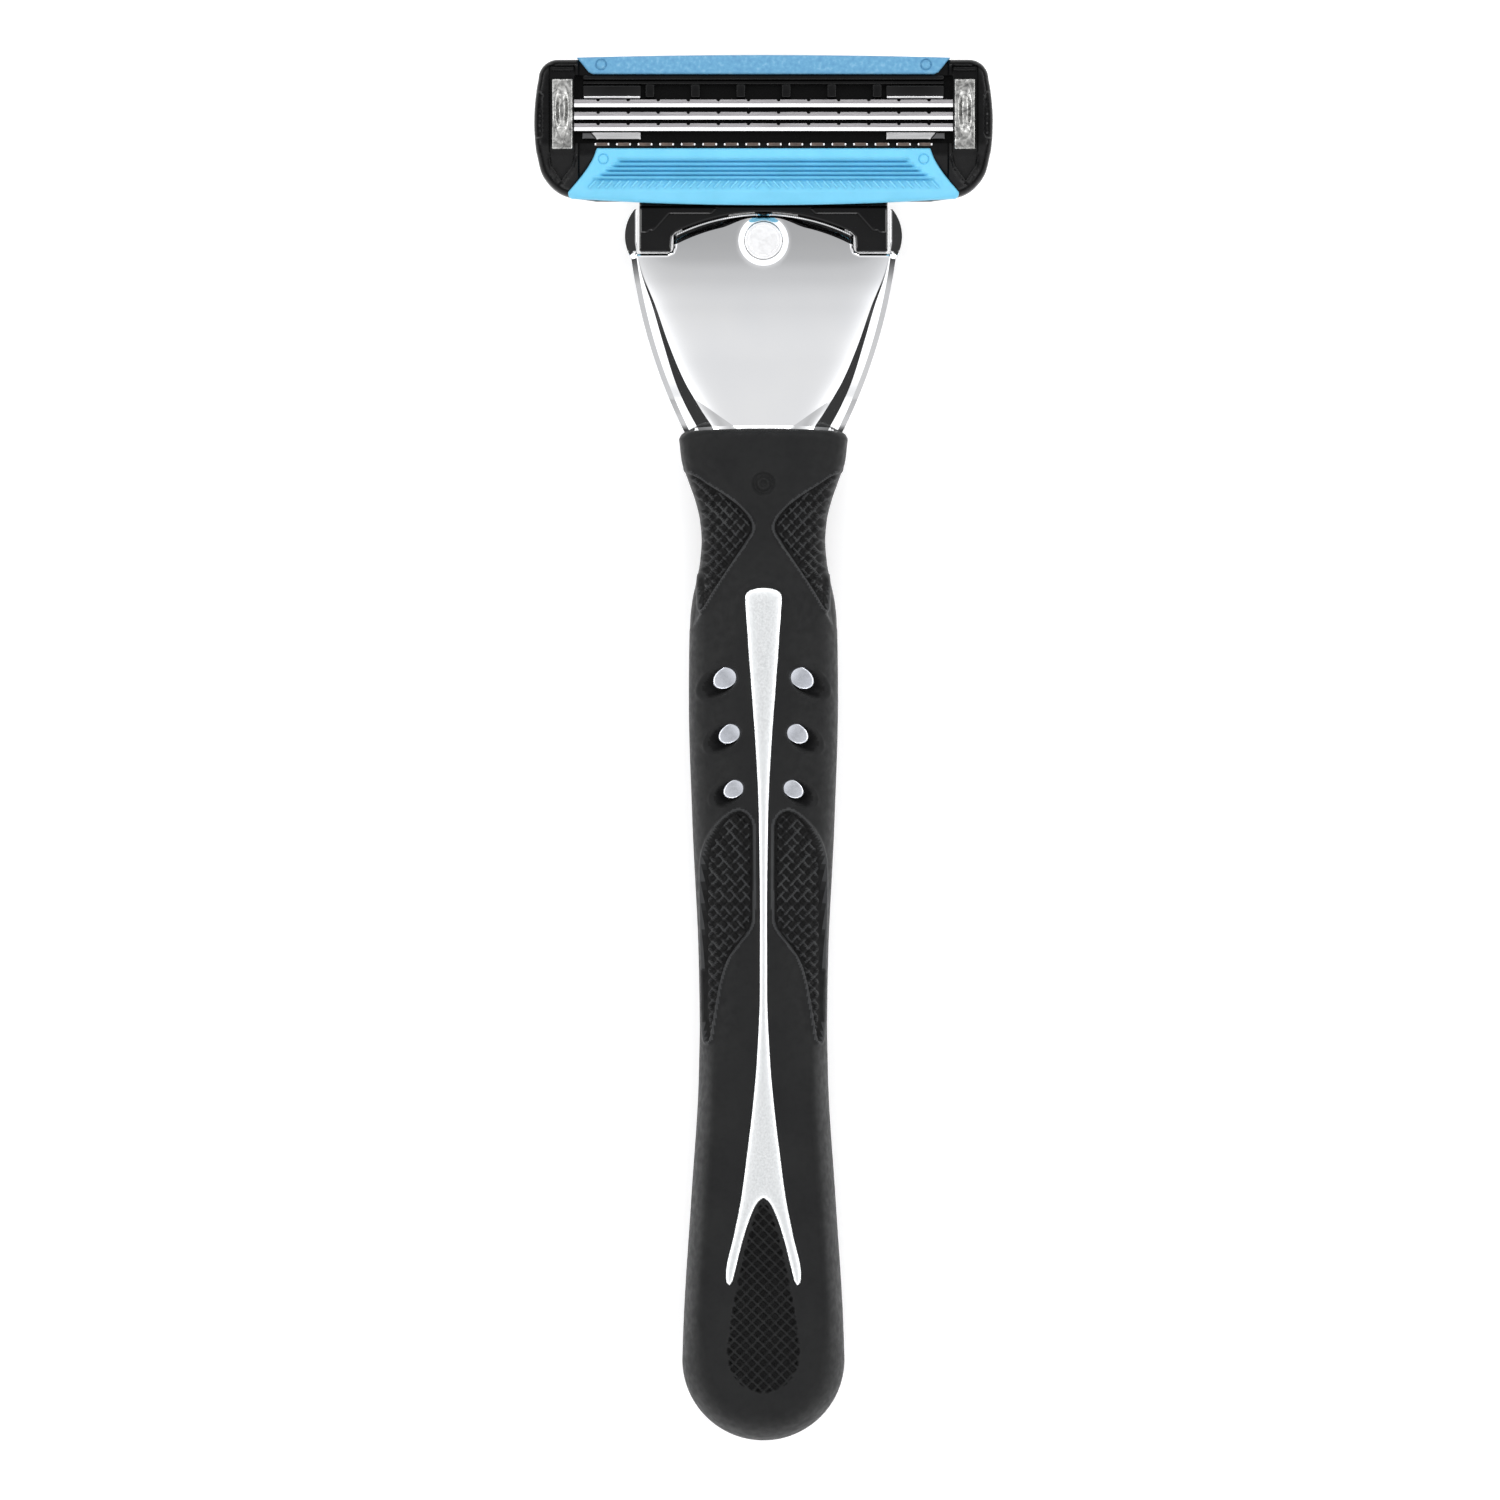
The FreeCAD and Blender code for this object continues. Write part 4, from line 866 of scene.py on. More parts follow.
def neck_front_part():
    """Everything in front of the mechanism pocket, netted along its creases."""
    rows = np.arange(29.1, 46.3, 0.16)
    lines = []
    for side in (1, -1):
        for x in (at(rows, BAND_IN), at(rows, BAND_OUT), side_half_width(rows) - CHAMFER):
            lines.append(np.column_stack([side * x, rows]))
        wedge_x = np.arange(2.9, 6.2, 0.16)
        lines.append(np.column_stack([side * wedge_x, 30.0 + (wedge_x - 2.66) * 0.70]))
    brow = neck_brow()
    along = np.gradient(brow, axis=0)
    inward = np.column_stack([-along[:, 1], along[:, 0]]) / np.linalg.norm(along, axis=1)[:, None]
    lines.append(brow + inward * BEAD)
    band = (brow + inward * brow_band(brow[:, 0])[:, None])
    clear = np.hypot(band[:, 0], band[:, 1] - BUTTON_Y) > BORE_RADIUS + 0.12
    for kept in (clear & (band[:, 0] > 0), clear & (band[:, 0] < 0)):
        lines.append(band[kept])
    xs = np.arange(-6.3, 6.31, 0.18)
    lines.append(np.column_stack([xs, 30.14 - 0.30 * (xs / 7.5) ** 2]))
    for radius in (1.88, 2.0, 2.14, 2.32):
        lines.append(circle(0, BUTTON_Y, radius, 72))
    bore = circle(0, BUTTON_Y, BORE_RADIUS, 72)
    return plaque(neck_plan(), neck_front, neck_bottom, [bore], 0.20,
                  (0.05, 0.11, 0.20, 0.34), 0.14, lines)


def neck_bottom(x, y, depth):
    """The level where the neck's front storey meets its back or the walls of its pocket."""
    return np.where(y < WALL_LOW_Y + 0.1, MOUTH_Z, WALL_TOP_Z)


def make_neck():
    """The polished neck in three storeys: front, pocket walls and back."""
    plan = neck_plan()
    roof = neck_front_part()
    x0, x1 = NOTCH_X
    side = neck_side()
    side = side[side[:, 1] > WALL_LOW_Y]
    wall_right = np.vstack([side, [(x1, EAR_TOP[1]), (x1, NOTCH_Y), (x0, NOTCH_Y), BROW_END,
                                          (POCKET_HALF, 48.05), (POCKET_HALF, POCKET_LOW_Y)]])

    def back(x, y, d):
        return back_plane(y) + 1.2 * rounding(depth_inside(x, y, [plan]), 1.2)

    walls = plaque(mirrored_loop(wall_right), flat(WALL_TOP_Z), flat(MOUTH_Z), step=0.8, rings=())
    cover_hole = rounded_rect(-POCKET_HALF, POCKET_HALF, POCKET_LOW_Y, COVER_TOP_Y, 0.15, 3)
    floor = plaque(plan, flat(MOUTH_Z), back, [cover_hole], 0.35, (0.05, 0.15, 0.35, 0.65, 1.0),
                   0.2)
    spine = block(-2.8, 2.8, -50, 29.5, 3.4, 7.9, 0.3)
    return make_piece("chrome_neck", [roof, walls, floor, spine], CHROME, "handle",
                      ["handle_core"], 7)


def make_cover():
    """The black plate in the neck's back, with a shallow frame, a panel and three ribs."""
    outline = rounded_rect(-POCKET_HALF + 0.06, POCKET_HALF - 0.06, POCKET_LOW_Y + 0.06,
                           COVER_TOP_Y - 0.06, 0.2, 3)

    def back(x, y, depth):
        panel = 0.25 * ramp(depth, 0.8, 1.0)
        ribs = 0.2 * np.maximum(np.cos((y - 42.3) * 2 * math.pi / 1.6), 0) ** 2
        inside = ramp(depth, 1.6, 1.9)
        return back_plane(y) + rounding(depth, 0.15) + panel - ribs * inside * 1.1

    part = plaque(outline, flat(6.0), back, step=0.16,
                  rings=(0.05, 0.15), edge=0.25)
    return make_piece("neck_back_plate", [part], BLACK, "handle",
                      ["neck_back_cover"], 40)


def make_button():
    """The round push button: pearl face with a fine turned groove, square stem below."""
    radius, top, corner = BORE_RADIUS - 0.05, 13.62, 0.12
    profile = [(radius, 12.2)]
    for angle in np.linspace(0, math.pi / 2, 6):
        profile.append((radius - corner + corner * math.cos(angle),
                        top - corner + corner * math.sin(angle)))
    profile += [(1.44, top - 0.01), (1.41, top - 0.05), (1.37, top - 0.05), (1.34, top)]
    profile += [(r, top + 0.05 * (1 - (r / 1.34) ** 2)) for r in (1.1, 0.8, 0.5, 0.2, 0.04)]
    head = lathe(profile, (0, BUTTON_Y, 0), steps=72)
    stem = block(-0.50, 0.50, BUTTON_Y - 0.85, BUTTON_Y + 0.85, 8.6, 12.3, 0.08)
    return make_piece("push_button", [head, stem], BUTTON, "button",
                      ["release_button"], 40)


# ---- connector yoke --------------------------------------------------------------------
YOKE_HALF, YOKE_FOOT_Y, YOKE_ARM_X = 11.5, 46.15, 8.6
YOKE_BACK_Z, YOKE_TOP_Z = 8.7, 13.0
HINGE_Y, HINGE_Z = 52.6, 11.6
EDGE_SLOPE = 0.49


def yoke_web_edge():
    """The edge that follows the neck's brow with a small gap, right half from the centre."""
    brow = neck_brow()
    half = brow[:len(brow) // 2 + 1][::-1]
    return half + [0.0, 0.14]


def make_yoke():
    """The black moulding between neck and cartridge: web, feet, raised frame and tongues."""
    def crowned(level, width):
        return lambda x, y, d: level - EDGE_SLOPE * beyond(width - d)

    def web_top(x, y, depth):
        under = YOKE_TOP_Z - 0.30 - 0.60 * ramp(y, 50.25, 50.40)
        tilt = 0.16 * (y - 49.0) * (1 - ramp(y, 50.2, 50.4))
        return under - tilt * 0.6 - EDGE_SLOPE * beyond(0.14 - depth)

    web = yoke_web_edge()
    web = web[web[:, 0] < 8.2]
    foot = [(8.5, 47.6), (YOKE_ARM_X, YOKE_FOOT_Y + 0.1), (YOKE_ARM_X + 0.1, YOKE_FOOT_Y),
            (YOKE_HALF - 0.15, YOKE_FOOT_Y), (YOKE_HALF, YOKE_FOOT_Y + 0.15), (YOKE_HALF, 51.4)]
    right = np.vstack([web[1:], foot, [(1.3, 51.4), (1.3, 51.2), (0.0, 51.2)]])
    plan = np.vstack([right, right[::-1][1:] * [-1, 1]])
    body = plaque(plan, web_top, flat(YOKE_BACK_Z), step=0.2, rings=(0.14,), edge=0.2)
    parts = [body]
    for side in (1, -1):
        raised = np.array([(4.15, 50.30), (4.80, 49.66), (8.75, 49.66), (10.12, 48.12),
                           (10.55, 48.12), (10.75, 47.92), (11.42, 47.92), (11.42, 50.30)])
        outline = raised * [side, 1]
        parts.append(plaque(outline[::side], crowned(YOKE_TOP_Z, 0.13), flat(YOKE_TOP_Z - 0.8),
                            step=0.25, rings=(0.13,), edge=0.15))
        lower = np.array([(8.85, 46.35), (11.3, 46.35), (11.3, 47.35), (8.85, 47.35)])
        parts.append(plaque((lower * [side, 1])[::side], crowned(YOKE_TOP_Z - 0.14, 0.13),
                            flat(YOKE_TOP_Z - 0.8), step=0.25, rings=(0.13,), edge=0.15))
        xs = span(side, YOKE_ARM_X, YOKE_HALF)
        arm = [(51.3, 9.3), (51.3, 12.05), (52.2, 12.08), (53.0, 12.0), (53.3, 11.6), (53.2, 11.1),
               (52.6, 10.9), (52.0, 10.9), (51.9, 9.3)]
        parts.append(prism_x(arm, *xs, 0.06))
        tongue = span(side, 3.2, 7.0)
        parts.append(block(*tongue, 44.6, 51.3, YOKE_BACK_Z, 10.75, 0.15))
        latch = span(side, 4.2, 6.0)
        parts.append(block(*latch, 45.0, 45.9, 8.6, 10.78, 0.1))
        trunnion = [(0.45, 0), (0.72, 0.0), (0.80, 0.08), (0.80, 1.7), (0.72, 1.8), (0.1, 1.8)]
        parts.append(lathe(trunnion, (side * 11.45, HINGE_Y, HINGE_Z), (side, 0, 0), 36))
        bar = span(side, 1.45, YOKE_ARM_X)
        parts.append(prism_x([(51.3, 10.9), (51.3, 12.05), (52.9, 12.02), (53.25, 11.6),
                              (52.9, 11.0), (52.2, 10.9)], *bar, 0.08))
    return make_piece("connector", parts, [BLACK_GLOSS], "yoke",
                      ["connector_yoke"], 20)


# ---- cartridge -------------------------------------------------------------------------
FRAME_BACK_Z, FACE_TOP_Z, CHEEK_TOP_Z = 12.45, 16.6, 17.1
WINDOW = (-17.5, 17.5, 56.05, 62.35)
CLIP_X, CLIP_Y = (17.62, 19.56), (55.5, 62.0)
SHIELD = np.array([(17.45, 55.2), (17.75, 53.9), (18.7, 52.65), (19.55, 53.9), (19.75, 55.2)])


def frame_plan():
    """The cartridge's outline: tight upper corners and long lower ones."""
    corner = [(20.8 - 1.8 + 1.8 * math.cos(a), 63.8 - 1.8 + 1.8 * math.sin(a))
              for a in np.linspace(0, math.pi / 2, 10)]
    side = arc_through((21.0, 55.2), (21.2, 58.5), (20.8, 62.0), 20)
    low = through([(15.5, 50.75), (18.6, 51.35), (20.35, 53.0), (21.0, 55.2)], 10)
    return mirrored_loop(np.vstack([[(8.0, 50.75)], low, side[1:], corner[1:]]))


def guard_plan(grow=0.0):
    """The guard strip's outline: long curved lower edge, hollow ends."""
    end = through([(18.05 + grow, 51.6), (16.7 + grow, 53.2), (15.85 + grow, 54.5),
                   (15.4 + grow * 0.7, 55.6 + grow)], 8)
    nose = arc_through((17.5, 50.98 - grow), (18.0 + grow, 51.2), (18.05 + grow, 51.6), 8)
    low = arc_through((17.5, 50.98 - grow), (0, 50.43 - grow), (-17.5, 50.98 - grow), 120)
    half = low[:60][::-1]
    return mirrored_loop(np.vstack([half, nose[1:], end[1:]]))


def strip_plan(grow=0.0):
    """The lubricating strip's outline: slanted ends and a slightly crowned top."""
    tip_x, tip_y = 17.25 + grow, 63.96 + grow
    right = [(8.0, 62.45 - grow), (15.75, 62.45 - grow), (16.15 + grow, 62.62),
             (16.42 + grow, 62.95), (16.90 + grow, 63.55), (tip_x, tip_y)]
    crown = arc_through((tip_x, tip_y), (0, 64.2 + grow), (-tip_x, tip_y), 80)
    return mirrored_loop(np.vstack([right, crown[1:40]]))


def guard_slope(y):
    """Height of the guard's sloping top."""
    return at(y, [(49.0, 14.6), (50.4, 15.2), (52.3, 16.25), (54.0, 16.72), (55.7, 16.9)])


def frame_top(x, y, depth):
    """Cheeks with a rounded edge, a lower bridge over the blades and recesses for the clips."""
    ax = np.abs(x)
    outer = depth_inside(x, y, [frame_plan()])
    slope = 14.9 + (y - 50) * (CHEEK_TOP_Z - 14.9) / 6
    cheek = np.minimum(CHEEK_TOP_Z, slope)
    cheek = cheek - 1.15 * rounding(outer, 0.75)
    inside = depth_inside(ax, y, [SHIELD])
    cheek -= 0.28 * ramp(inside, -0.02, 0.06)
    lip = np.exp(-((inside + 0.16) / 0.09) ** 2) * (y < 55.0)
    cheek += 0.10 * lip
    pocket = depth_inside(ax, y, [rounded_rect(17.42, 19.80, 55.2, 63.2, 0.12, 3)])
    cheek -= 0.30 * ramp(pocket, -0.03, 0.05)
    latch = depth_inside(ax, y, [rounded_rect(20.45, 21.4, 56.6, 60.8, 0.3, 5)])
    cheek -= 0.20 * ramp(latch, -0.03, 0.05)
    cheek += 0.06 * np.exp(-((latch + 0.12) / 0.07) ** 2)
    bridge = np.minimum(FACE_TOP_Z - 0.15, slope - 0.3) - rounding(outer, 0.4)
    mix = ramp(ax, 17.02, 17.16)
    height = cheek * mix + bridge * (1 - mix)
    under_guard = depth_inside(x, y, [guard_plan(0.04)]) > 0.02
    under_strip = depth_inside(x, y, [strip_plan(0.04)]) > 0.02
    height = np.where(under_guard, 14.0, height)
    return np.where(under_strip, 15.2, height)


def make_frame():
    """The black cartridge moulding with its bars, posts, comb, hinge ears and fin."""
    plan = frame_plan()
    window = rounded_rect(*WINDOW, 0.15, 3)

    def back(x, y, depth):
        outer = depth_inside(x, y, [plan])
        lifted = np.maximum(0, 51.6 - y) * 0.72
        return FRAME_BACK_Z + lifted + 1.1 * rounding(outer, 0.6)

    lines = []
    for side in (1, -1):
        rows = np.arange(51.5, 63.6, 0.2)
        for x in (17.0, 17.16, 17.38, 17.47, 19.75, 19.85):
            lines.append(np.column_stack([np.full(rows.shape, side * x), rows]))
        smooth = even_line(SHIELD, 0.1)
        for grow in (-0.06, 0.03, 0.16, 0.3):
            away = smooth + grow * (smooth - [18.65, 54.2]) / 1.4
            lines.append(away * [side, 1])
    for grow in (0.02, 0.07):
        lines.append(even(guard_plan(grow), 0.15))
        lines.append(even(strip_plan(grow), 0.15))
    shell = plaque(plan, frame_top, back, [window], 0.22, (0.05, 0.12, 0.22, 0.36, 0.55), 0.18,
                   lines)
    parts = [shell]
    floor_z = 14.0
    parts.append(block(-17.6, 17.6, 56.0, 62.4, FRAME_BACK_Z + 0.1, floor_z, 0))
    for x in (-10.5, -6.3, -2.1, 2.1, 6.3, 10.5):
        parts.append(block(x - 0.43, x + 0.43, 60.3, 61.55, floor_z - 0.2, 16.35, 0.12, 3))
    parts.append(block(-16.7, 16.7, 61.52, 61.86, floor_z - 0.2, 16.30, 0.10, 3))
    parts.append(block(-16.7, 16.7, 61.92, 62.38, floor_z - 0.2, 16.62, 0.14, 3))
    for side in (1, -1):
        xs = span(side, 17.55, 19.6)
        parts.append(prism_x([(62.7, 16.5), (62.7, 16.98), (62.85, 17.08), (63.02, 17.08),
                              (63.14, 16.98), (63.14, 16.5)], *xs, 0.04))
        ear = span(side, 11.8, 13.6)
        profile = [(HINGE_Y + 1.45 * math.cos(a), HINGE_Z + 1.45 * math.sin(a))
                   for a in np.linspace(math.pi, 2 * math.pi, 13)]
        profile += [(HINGE_Y + 1.45, FRAME_BACK_Z + 0.3), (HINGE_Y - 1.45, FRAME_BACK_Z + 0.3)]
        parts.append(prism_x(profile, *ear, 0.08))
        for y in np.arange(56.5, 62.0, 1.1):
            hook = span(side, 14.6, 16.2)
            parts.append(block(*hook, y, y + 0.55, FRAME_BACK_Z - 0.02, FRAME_BACK_Z + 0.6, 0.08))
    parts.append(block(-0.9, 0.9, 52.3, 53.3, 5.8, FRAME_BACK_Z + 0.4, 0.15, 3))
    for x in np.arange(-16.8, 16.9, 4.2):
        parts.append(block(x - 0.35, x + 0.35, 56.3, 62.0, FRAME_BACK_Z - 0.06,
                           FRAME_BACK_Z + 0.6, 0.08))
    count = 16
    for i in range(count):
        x = (i - (count - 1) / 2) * 1.99
        bar = block(x - 0.60, x + 0.60, 55.80, 56.12, 16.1, 16.66, 0.10, 2)
        parts.append((*bar, 1))
        # Bright steel dots at each bar's ends are painted glints, standing in for highlights at
        # the slot ends.
        for end in (x - 0.60, x + 0.60):
            glint_dot = block(end - 0.09, end + 0.09, 55.84, 56.08, 16.4, 16.74, 0.08, 2)
            parts.append((*glint_dot, 2))
    for side in (1, -1):
        xs = span(side, 11.35, 16.65)
        slab = prism_x([(60.28, 14.5), (60.28, 16.15), (60.46, 16.27), (61.35, 16.42),
                        (61.45, 16.3), (61.45, 14.5)], *xs, 0.05)
        parts.append((*slab, 3))
        # A bright steel strip along the glossy slab's lower edge paints the highlight that edge
        # catches.
        glint_rail = block(*span(side, 11.4, 16.6), 60.24, 60.42, 15.9, 16.26, 0.05)
        parts.append((*glint_rail, 2))
    return make_piece("cartridge_body", parts, [BLACK, COMB, STEEL_AND_PAINTED_GLINT, BLACK_GLOSS],
                      "cartridge", ["cartridge_frame"], 35)


def even_line(points, step):
    """An open line again, with points no further apart than step."""
    out = []
    for a, b in zip(points[:-1], points[1:]):
        count = max(1, math.ceil(np.linalg.norm(b - a) / step))
        out.extend(a + (b - a) * k / count for k in range(count))
    out.append(points[-1])
    return np.array(out)


RIBS = [(54.57, 13.5), (54.13, 14.0), (53.71, 14.55), (53.31, 15.1), (52.93, 15.65)]
STROKE_PITCH, STROKE_Y = 0.77, (51.90, 52.65)


def guard_strokes():
    """The row of short bars below the ribs, each leaning towards the middle."""
    low, high = STROKE_Y
    lean = math.radians(44)
    parts = []
    for k in range(21):
        for side in (1, -1):
            points, faces = block(-0.10, 0.10, -0.47, 0.47, -0.45, 0.13, 0.075, 3)
            across, along = points[:, 0].copy(), points[:, 1].copy()
            points[:, 0] = across * math.cos(lean) - along * math.sin(lean)
            points[:, 1] = across * math.sin(lean) + along * math.cos(lean)
            points[:, 0] = side * (points[:, 0] + 0.42 + k * STROKE_PITCH)
            points[:, 1] += (low + high) / 2
            points[:, 2] += guard_slope(points[:, 1])
            parts.append((points, faces if side > 0 else [f[::-1] for f in faces]))
    return parts


def make_guard():
    """The blue guard: five long ribs, a row of slanted strokes and two locating pegs."""
    def top(x, y, depth):
        ax = np.abs(x)
        height = guard_slope(y) - rounding(depth, 0.28)
        for rib_y, half in RIBS:
            along = 1 - ramp(ax, half - 0.1 - (rib_y - y) * 0.8, half + 0.1 - (rib_y - y) * 0.8)
            across = (y - rib_y) / 0.105
            height += along * (0.26 * np.exp(-across ** 2)
                               - 0.30 * np.exp(-((y - rib_y + 0.20) / 0.075) ** 2))
        low, high = STROKE_Y
        beside = ramp(y, low - 0.05, low + 0.1) * (1 - ramp(y, high, high + 0.12))
        height -= 0.10 * beside * (ax < 16.4)
        peg = np.hypot(ax - 14.8, y - 54.6)
        height += 0.09 * (1 - ramp(peg, 0.36, 0.42)) - 0.10 * np.exp(-((peg - 0.47) / 0.05) ** 2)
        return height

    def bottom(x, y, depth):
        return np.minimum(14.2, guard_slope(y) - 0.9)

    lines = []
    for rib_y, half in RIBS:
        for offset in (-0.27, -0.21, -0.13, -0.06, 0.0, 0.06, 0.14):
            reach = half + 0.3 + offset
            xs = np.arange(-reach, reach + 0.01, reach / 60)
            lines.append(np.column_stack([xs, np.full(xs.shape, rib_y + offset)]))
    for side in (1, -1):
        for radius in (0.36, 0.42, 0.47, 0.54):
            lines.append(circle(side * 14.8, 54.6, radius, 32))
    part = plaque(guard_plan(), top, bottom, (), 0.24, (0.04, 0.10, 0.18, 0.27), 0.16, lines)
    return make_piece("blue_guard", [part] + guard_strokes(), GUARD, "cartridge",
                      ["guard_strip"], 60)


def make_lube_strip():
    """The speckled lubricating strip with a peg near each end."""
    rng = np.random.default_rng(SEED)
    marks = np.column_stack([rng.uniform(-16, 16, 90), rng.uniform(62.6, 64.1, 90),
                             rng.uniform(0.05, 0.16, 90), rng.uniform(-0.05, 0.045, 90)])

    def top(x, y, depth):
        crown = 17.15 + 0.12 * (1 - ((y - 63.3) / 0.9) ** 2)
        height = crown - rounding(depth, 0.20)
        for mx, my, size, rise in marks:
            height = height + rise * np.exp(-((x - mx) ** 2 + (y - my) ** 2) / size ** 2)
        peg = np.hypot(np.abs(x) - 15.0, y - 63.3)
        height += 0.10 * (1 - ramp(peg, 0.36, 0.43)) - 0.12 * np.exp(-((peg - 0.49) / 0.05) ** 2)
        return height

    lines = [circle(side * 15.0, 63.3, radius, 32) for side in (1, -1)
             for radius in (0.36, 0.43, 0.49, 0.56)]
    part = plaque(strip_plan(), top, flat(15.3), (), 0.15,
                  (0.04, 0.10, 0.19), 0.15, lines)
    return make_piece("lube_strip", [part], STRIP, "cartridge",
                      ["lubricating_strip"], 60)


def make_clips():
    """The two folded metal clips, each with a long pressed dimple and scuffed lower end."""
    x0, x1 = CLIP_X
    y0, y1 = CLIP_Y
    for side, word in ((1, "right"), (-1, "left")):
        rng = np.random.default_rng(SEED + side)
        scuffs = np.column_stack([rng.uniform(x0, x1, 14), rng.uniform(y0 + 0.3, y0 + 1.6, 14),
                                  rng.uniform(0.05, 0.13, 14), rng.uniform(-0.10, 0.10, 14)])

        def top(x, y, depth, side=side, scuffs=scuffs):
            ax = np.abs(x)
            dimple = np.hypot((ax - 18.62) / 0.62, (y - 59.1) / 2.3)
            height = 17.25 - rounding(depth, 0.16) - 0.34 * (1 - ramp(dimple, 0.25, 1.05))
            height += 0.05 * np.exp(-((dimple - 1.12) / 0.12) ** 2)
            for sx, sy, size, rise in scuffs:
                distance2 = (ax - sx) ** 2 + ((y - sy) * 0.8) ** 2
                height = height + rise * np.exp(-distance2 / size ** 2)
            return height

        outline = rounded_rect(x0, x1, y0, y1, 0.10, 3) * [side, 1]
        face = plaque(outline[::side], top, flat(16.9), (), 0.10,
                      (0.03, 0.08, 0.15), 0.12)
        xs = span(side, x0, x1)
        parts = [face]
        for wall in ((y0, y0 + 0.28), (y1 - 0.28, y1)):
            parts.append(block(*xs, *wall, 12.2, 17.05, 0.06))
        for tab in ((y0, y0 + 0.95), (y1 - 0.95, y1)):
            parts.append(block(*xs, *tab, 12.17, 12.45, 0.08))
        make_piece(f"end_clip_{word}", parts, CLIP, "cartridge",
                   [f"clip_{word}"], 50)


BLADE_EDGE_Y = (59.42, 58.27, 57.22)
BLADE_EDGE_Z, BLADE_TILT = 16.75, math.radians(22)
BLADE_HALF, NOTCH_PITCH = 18.55, 2.78
FLAG = np.array([(11.35, 56.45), (15.4, 56.45), (15.95, 57.1), (11.35, 57.1)])
FLAG_TAIL = np.array([(15.5, 56.5), (16.75, 56.5), (16.75, 57.05), (16.0, 57.05)])


def tilted(edge_y, along, down):
    """A point measured from a blade's edge, along the blade and square to it."""
    return (edge_y + along * math.cos(BLADE_TILT) - down * math.sin(BLADE_TILT),
            BLADE_EDGE_Z - along * math.sin(BLADE_TILT) - down * math.cos(BLADE_TILT))


def make_blades():
    """Three blades: ground edge and body with half-round notches at its back; the edge's
    near-white steel is a painted highlight and the body's dark steel a painted grey reflection.
    """
    for index, edge_y in enumerate(BLADE_EDGE_Y):
        width, thick, grind = 0.74, 0.10, 0.34
        edge_strip = [tilted(edge_y, *corner)
                      for corner in ((0, 0.05), (grind, 0.0), (grind, thick))]
        points, faces = prism_x(edge_strip, -BLADE_HALF, BLADE_HALF, 0)
        parts = [(points, faces, 0)]
        xs, depths = [-BLADE_HALF], [0.0]
        for k in range(12):
            middle = (k - 5.5) * NOTCH_PITCH
            for angle in np.linspace(math.pi, 0, 9):
                xs.append(middle + 0.17 * math.cos(angle))
                depths.append(0.19 * math.sin(angle))
        xs.append(BLADE_HALF)
        depths.append(0.0)
        top_low = [(x, *tilted(edge_y, grind, 0.012)) for x in xs]
        top_high = [(x, *tilted(edge_y, width - d, 0.012)) for x, d in zip(xs, depths)]
        under_low = [(x, *tilted(edge_y, grind, thick)) for x in xs]
        under_high = [(x, *tilted(edge_y, width - d, thick)) for x, d in zip(xs, depths)]
        n = len(xs)
        body = np.array(top_low + top_high + under_low + under_high)
        quads = []
        for k in range(n - 1):
            quads.append((k, k + 1, n + k + 1, n + k))
            quads.append((2 * n + k, 3 * n + k, 3 * n + k + 1, 2 * n + k + 1))
            quads.append((n + k, n + k + 1, 3 * n + k + 1, 3 * n + k))
            quads.append((k, 2 * n + k, 2 * n + k + 1, k + 1))
        quads.append((0, n, 3 * n, 2 * n))
        quads.append((n - 1, 3 * n - 1, 4 * n - 1, 2 * n - 1))
        parts.append((body, quads, 1))
        make_piece(f"blade_{index + 1}_steel", parts, [BLADE_EDGE_PAINTED_HIGHLIGHT, BLADE_BODY_PAINTED_REFLECTION], "cartridge",
                   [f"blade_{index + 1}"], 25)


def make_supports():
    """The bent steel strips under the blades, with the lowest one's bright end flags."""
    for index, edge_y in enumerate(BLADE_EDGE_Y):
        under = 0.12
        knee_y, knee_z = tilted(edge_y, 0.50, under + 0.08)
        profile = [tilted(edge_y, 0.20, under), tilted(edge_y, 0.46, under),
                   (knee_y, knee_z), (knee_y, 13.9), (knee_y - 0.15, 13.9),
                   (knee_y - 0.15, knee_z - 0.10), tilted(edge_y, 0.20, under + 0.15)]
        parts = [(*prism_x(profile, -17.2, 17.2, 0), 0)]
        if index == 2:
            for side in (1, -1):
                for outline, top_z, under_z, kind in ((FLAG, 16.2, 15.9, 1),
                                                      (FLAG_TAIL, 16.0, 15.8, 0)):
                    plate = plaque((outline * [side, 1])[::side],
                                   lambda x, y, d, z=top_z: z - rounding(d, 0.05),
                                   flat(under_z), (), 0.3, (0.03, 0.08), 0.2)
                    parts.append((*plate, kind))
        make_piece(f"support_{index + 1}_steel", parts, [SUPPORT, STEEL_AND_PAINTED_GLINT], "cartridge",
                   [f"blade_support_{index + 1}"], 30)


def dress_hidden_nodes():
    """Materials for the small mechanism parts that keep their CAD shape."""
    for name, material in (("ejector", BLACK_SOFT), ("ejector_guide", BLACK_DEEP),
                           ("plunger", BLACK_SOFT), ("button_spring", SPRING),
                           ("plunger_spring", SPRING)):
        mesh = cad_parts[name].data
        mesh.materials.clear()
        mesh.materials.append(material)


make_grip()
make_trim()
make_studs()
make_neck()
make_cover()
make_button()
make_yoke()
make_frame()
make_guard()
make_lube_strip()
make_clips()
make_blades()
make_supports()
dress_hidden_nodes()


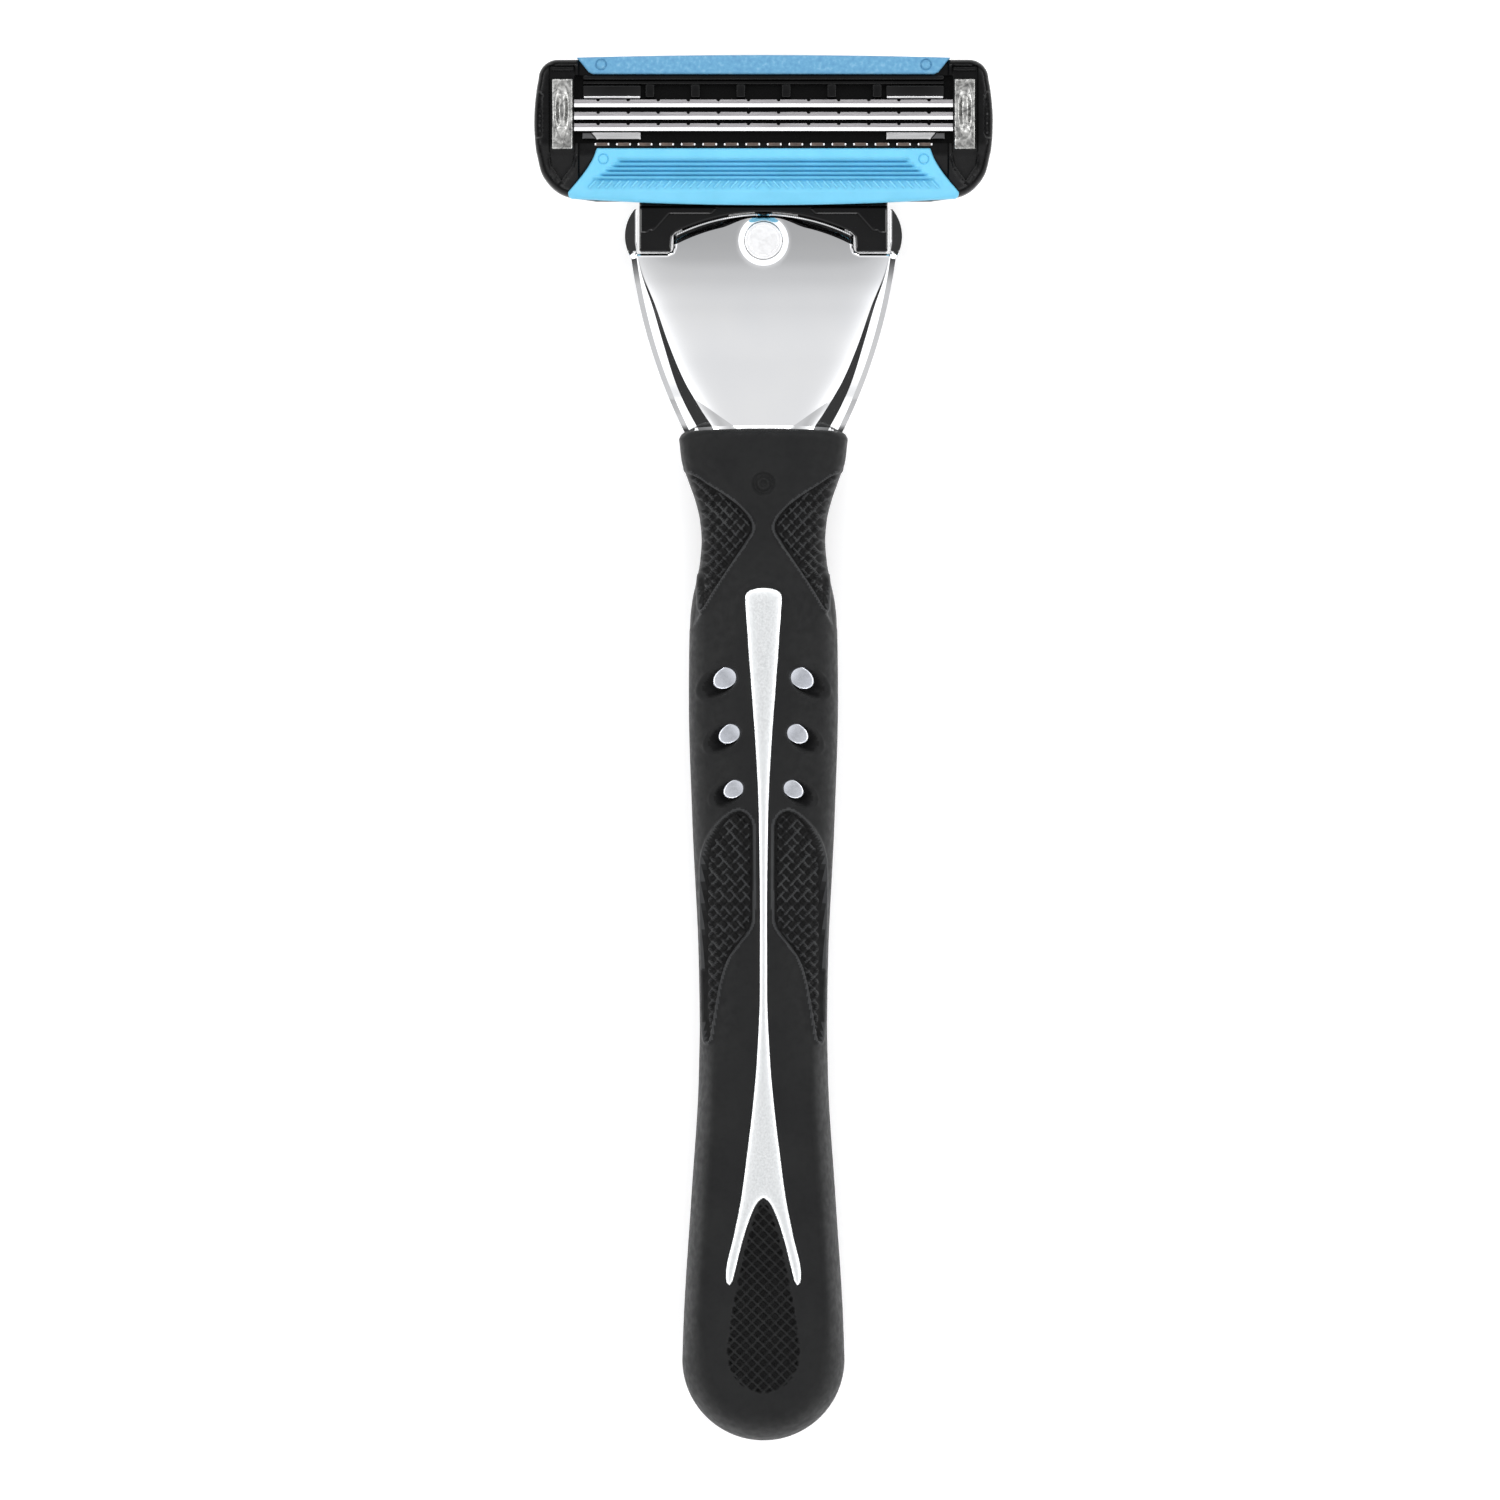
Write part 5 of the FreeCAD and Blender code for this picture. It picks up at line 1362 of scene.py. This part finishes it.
# ---- camera, floor and light -----------------------------------------------------------
CAMERA_HEIGHT = 1400.0
VIEW_WIDTH = 139.05
AXIS_OFFSET = 1.25
OBJECT_PLANE_Z = 12.0
SKY = [(0.0, 0.52), (0.15, 0.43), (0.20, 0.03), (0.38, 0.03), (0.46, 0.40), (0.60, 1.0),
       (0.82, 0.95), (0.925, 0.58), (0.985, 0.42), (1.0, 0.30)]
SKY_STRENGTH = 1.5
LAMP_PLACES = {"left": (-0.95, 0.1, 0.75), "right": (0.95, 0.1, 0.75),
               "above": (0, 1.0, 0.8), "below": (0, -1.0, 0.8)}
LAMP_SIZE, LAMP_WATTS = (1.1, 0.14), 3.0
FLOOR_HALF, FLOOR_GLOW = 1.6, 0.28


def make_camera():
    """Straight down on the razor with a long lens, its head at the top of the picture."""
    data = bpy.data.cameras.new("camera")
    data.type = "PERSP"
    data.sensor_width = 36
    data.lens = 36 * (CAMERA_HEIGHT - OBJECT_PLANE_Z) / VIEW_WIDTH
    data.clip_start, data.clip_end = 0.05, 20
    camera = bpy.data.objects.new("camera", data)
    camera.location = (-AXIS_OFFSET * MM, 0, CAMERA_HEIGHT * MM)
    bpy.context.scene.collection.objects.link(camera)
    bpy.context.scene.camera = camera


def make_floor():
    """A plain pale surface that the razor lies on."""
    mesh = bpy.data.meshes.new("floor")
    corners = [(FLOOR_HALF * x, FLOOR_HALF * y, 0)
               for x, y in ((-1, -1), (1, -1), (1, 1), (-1, 1))]
    mesh.from_pydata(corners, [], [(0, 1, 2, 3)])
    m = Material("pale_floor", (0.90, 0.90, 0.90), 0.8, specular=0.2)
    m.colour(m.noise(0.01, 2), [(0.3, (0.90, 0.90, 0.90)), (0.7, (0.915, 0.915, 0.915))])
    mesh.materials.append(m.material)
    m.set(Emission_Color=(1, 1, 1, 1), Emission_Strength=FLOOR_GLOW)
    floor = bpy.data.objects.new("floor", mesh)
    floor.location.z = -0.00002
    bpy.context.scene.collection.objects.link(floor)


def make_light(name, place):
    """A soft oblong lamp that points at the razor; places in metres."""
    data = bpy.data.lights.new(name, "AREA")
    data.shape = "RECTANGLE"
    data.size, data.size_y = LAMP_SIZE
    data.energy = LAMP_WATTS
    lamp = bpy.data.objects.new(name, data)
    lamp.location = place
    lamp.rotation_mode = "QUATERNION"
    lamp.rotation_quaternion = (-Vector(place)).to_track_quat("-Z", "Y")
    bpy.context.scene.collection.objects.link(lamp)


def make_world():
    """An even white surround, darker towards the horizon so that polished edges read."""
    world = bpy.data.worlds.new("surround")
    world.use_nodes = True
    bpy.context.scene.world = world
    tree = world.node_tree
    place = tree.nodes.new("ShaderNodeTexCoord")
    split = tree.nodes.new("ShaderNodeSeparateXYZ")
    tree.links.new(place.outputs["Generated"], split.inputs["Vector"])
    shade = tree.nodes.new("ShaderNodeValToRGB")
    fill_ramp(shade, [(height, (value, value, value * 1.01, 1)) for height, value in SKY])
    tree.links.new(split.outputs["Z"], shade.inputs["Fac"])
    background = tree.nodes["Background"]
    background.inputs["Strength"].default_value = SKY_STRENGTH
    tree.links.new(shade.outputs["Color"], background.inputs["Color"])


make_camera()
make_floor()
make_world()
for lamp_name, lamp_place in LAMP_PLACES.items():
    make_light(lamp_name, lamp_place)
bpy.context.scene.view_settings.view_transform = "Standard"
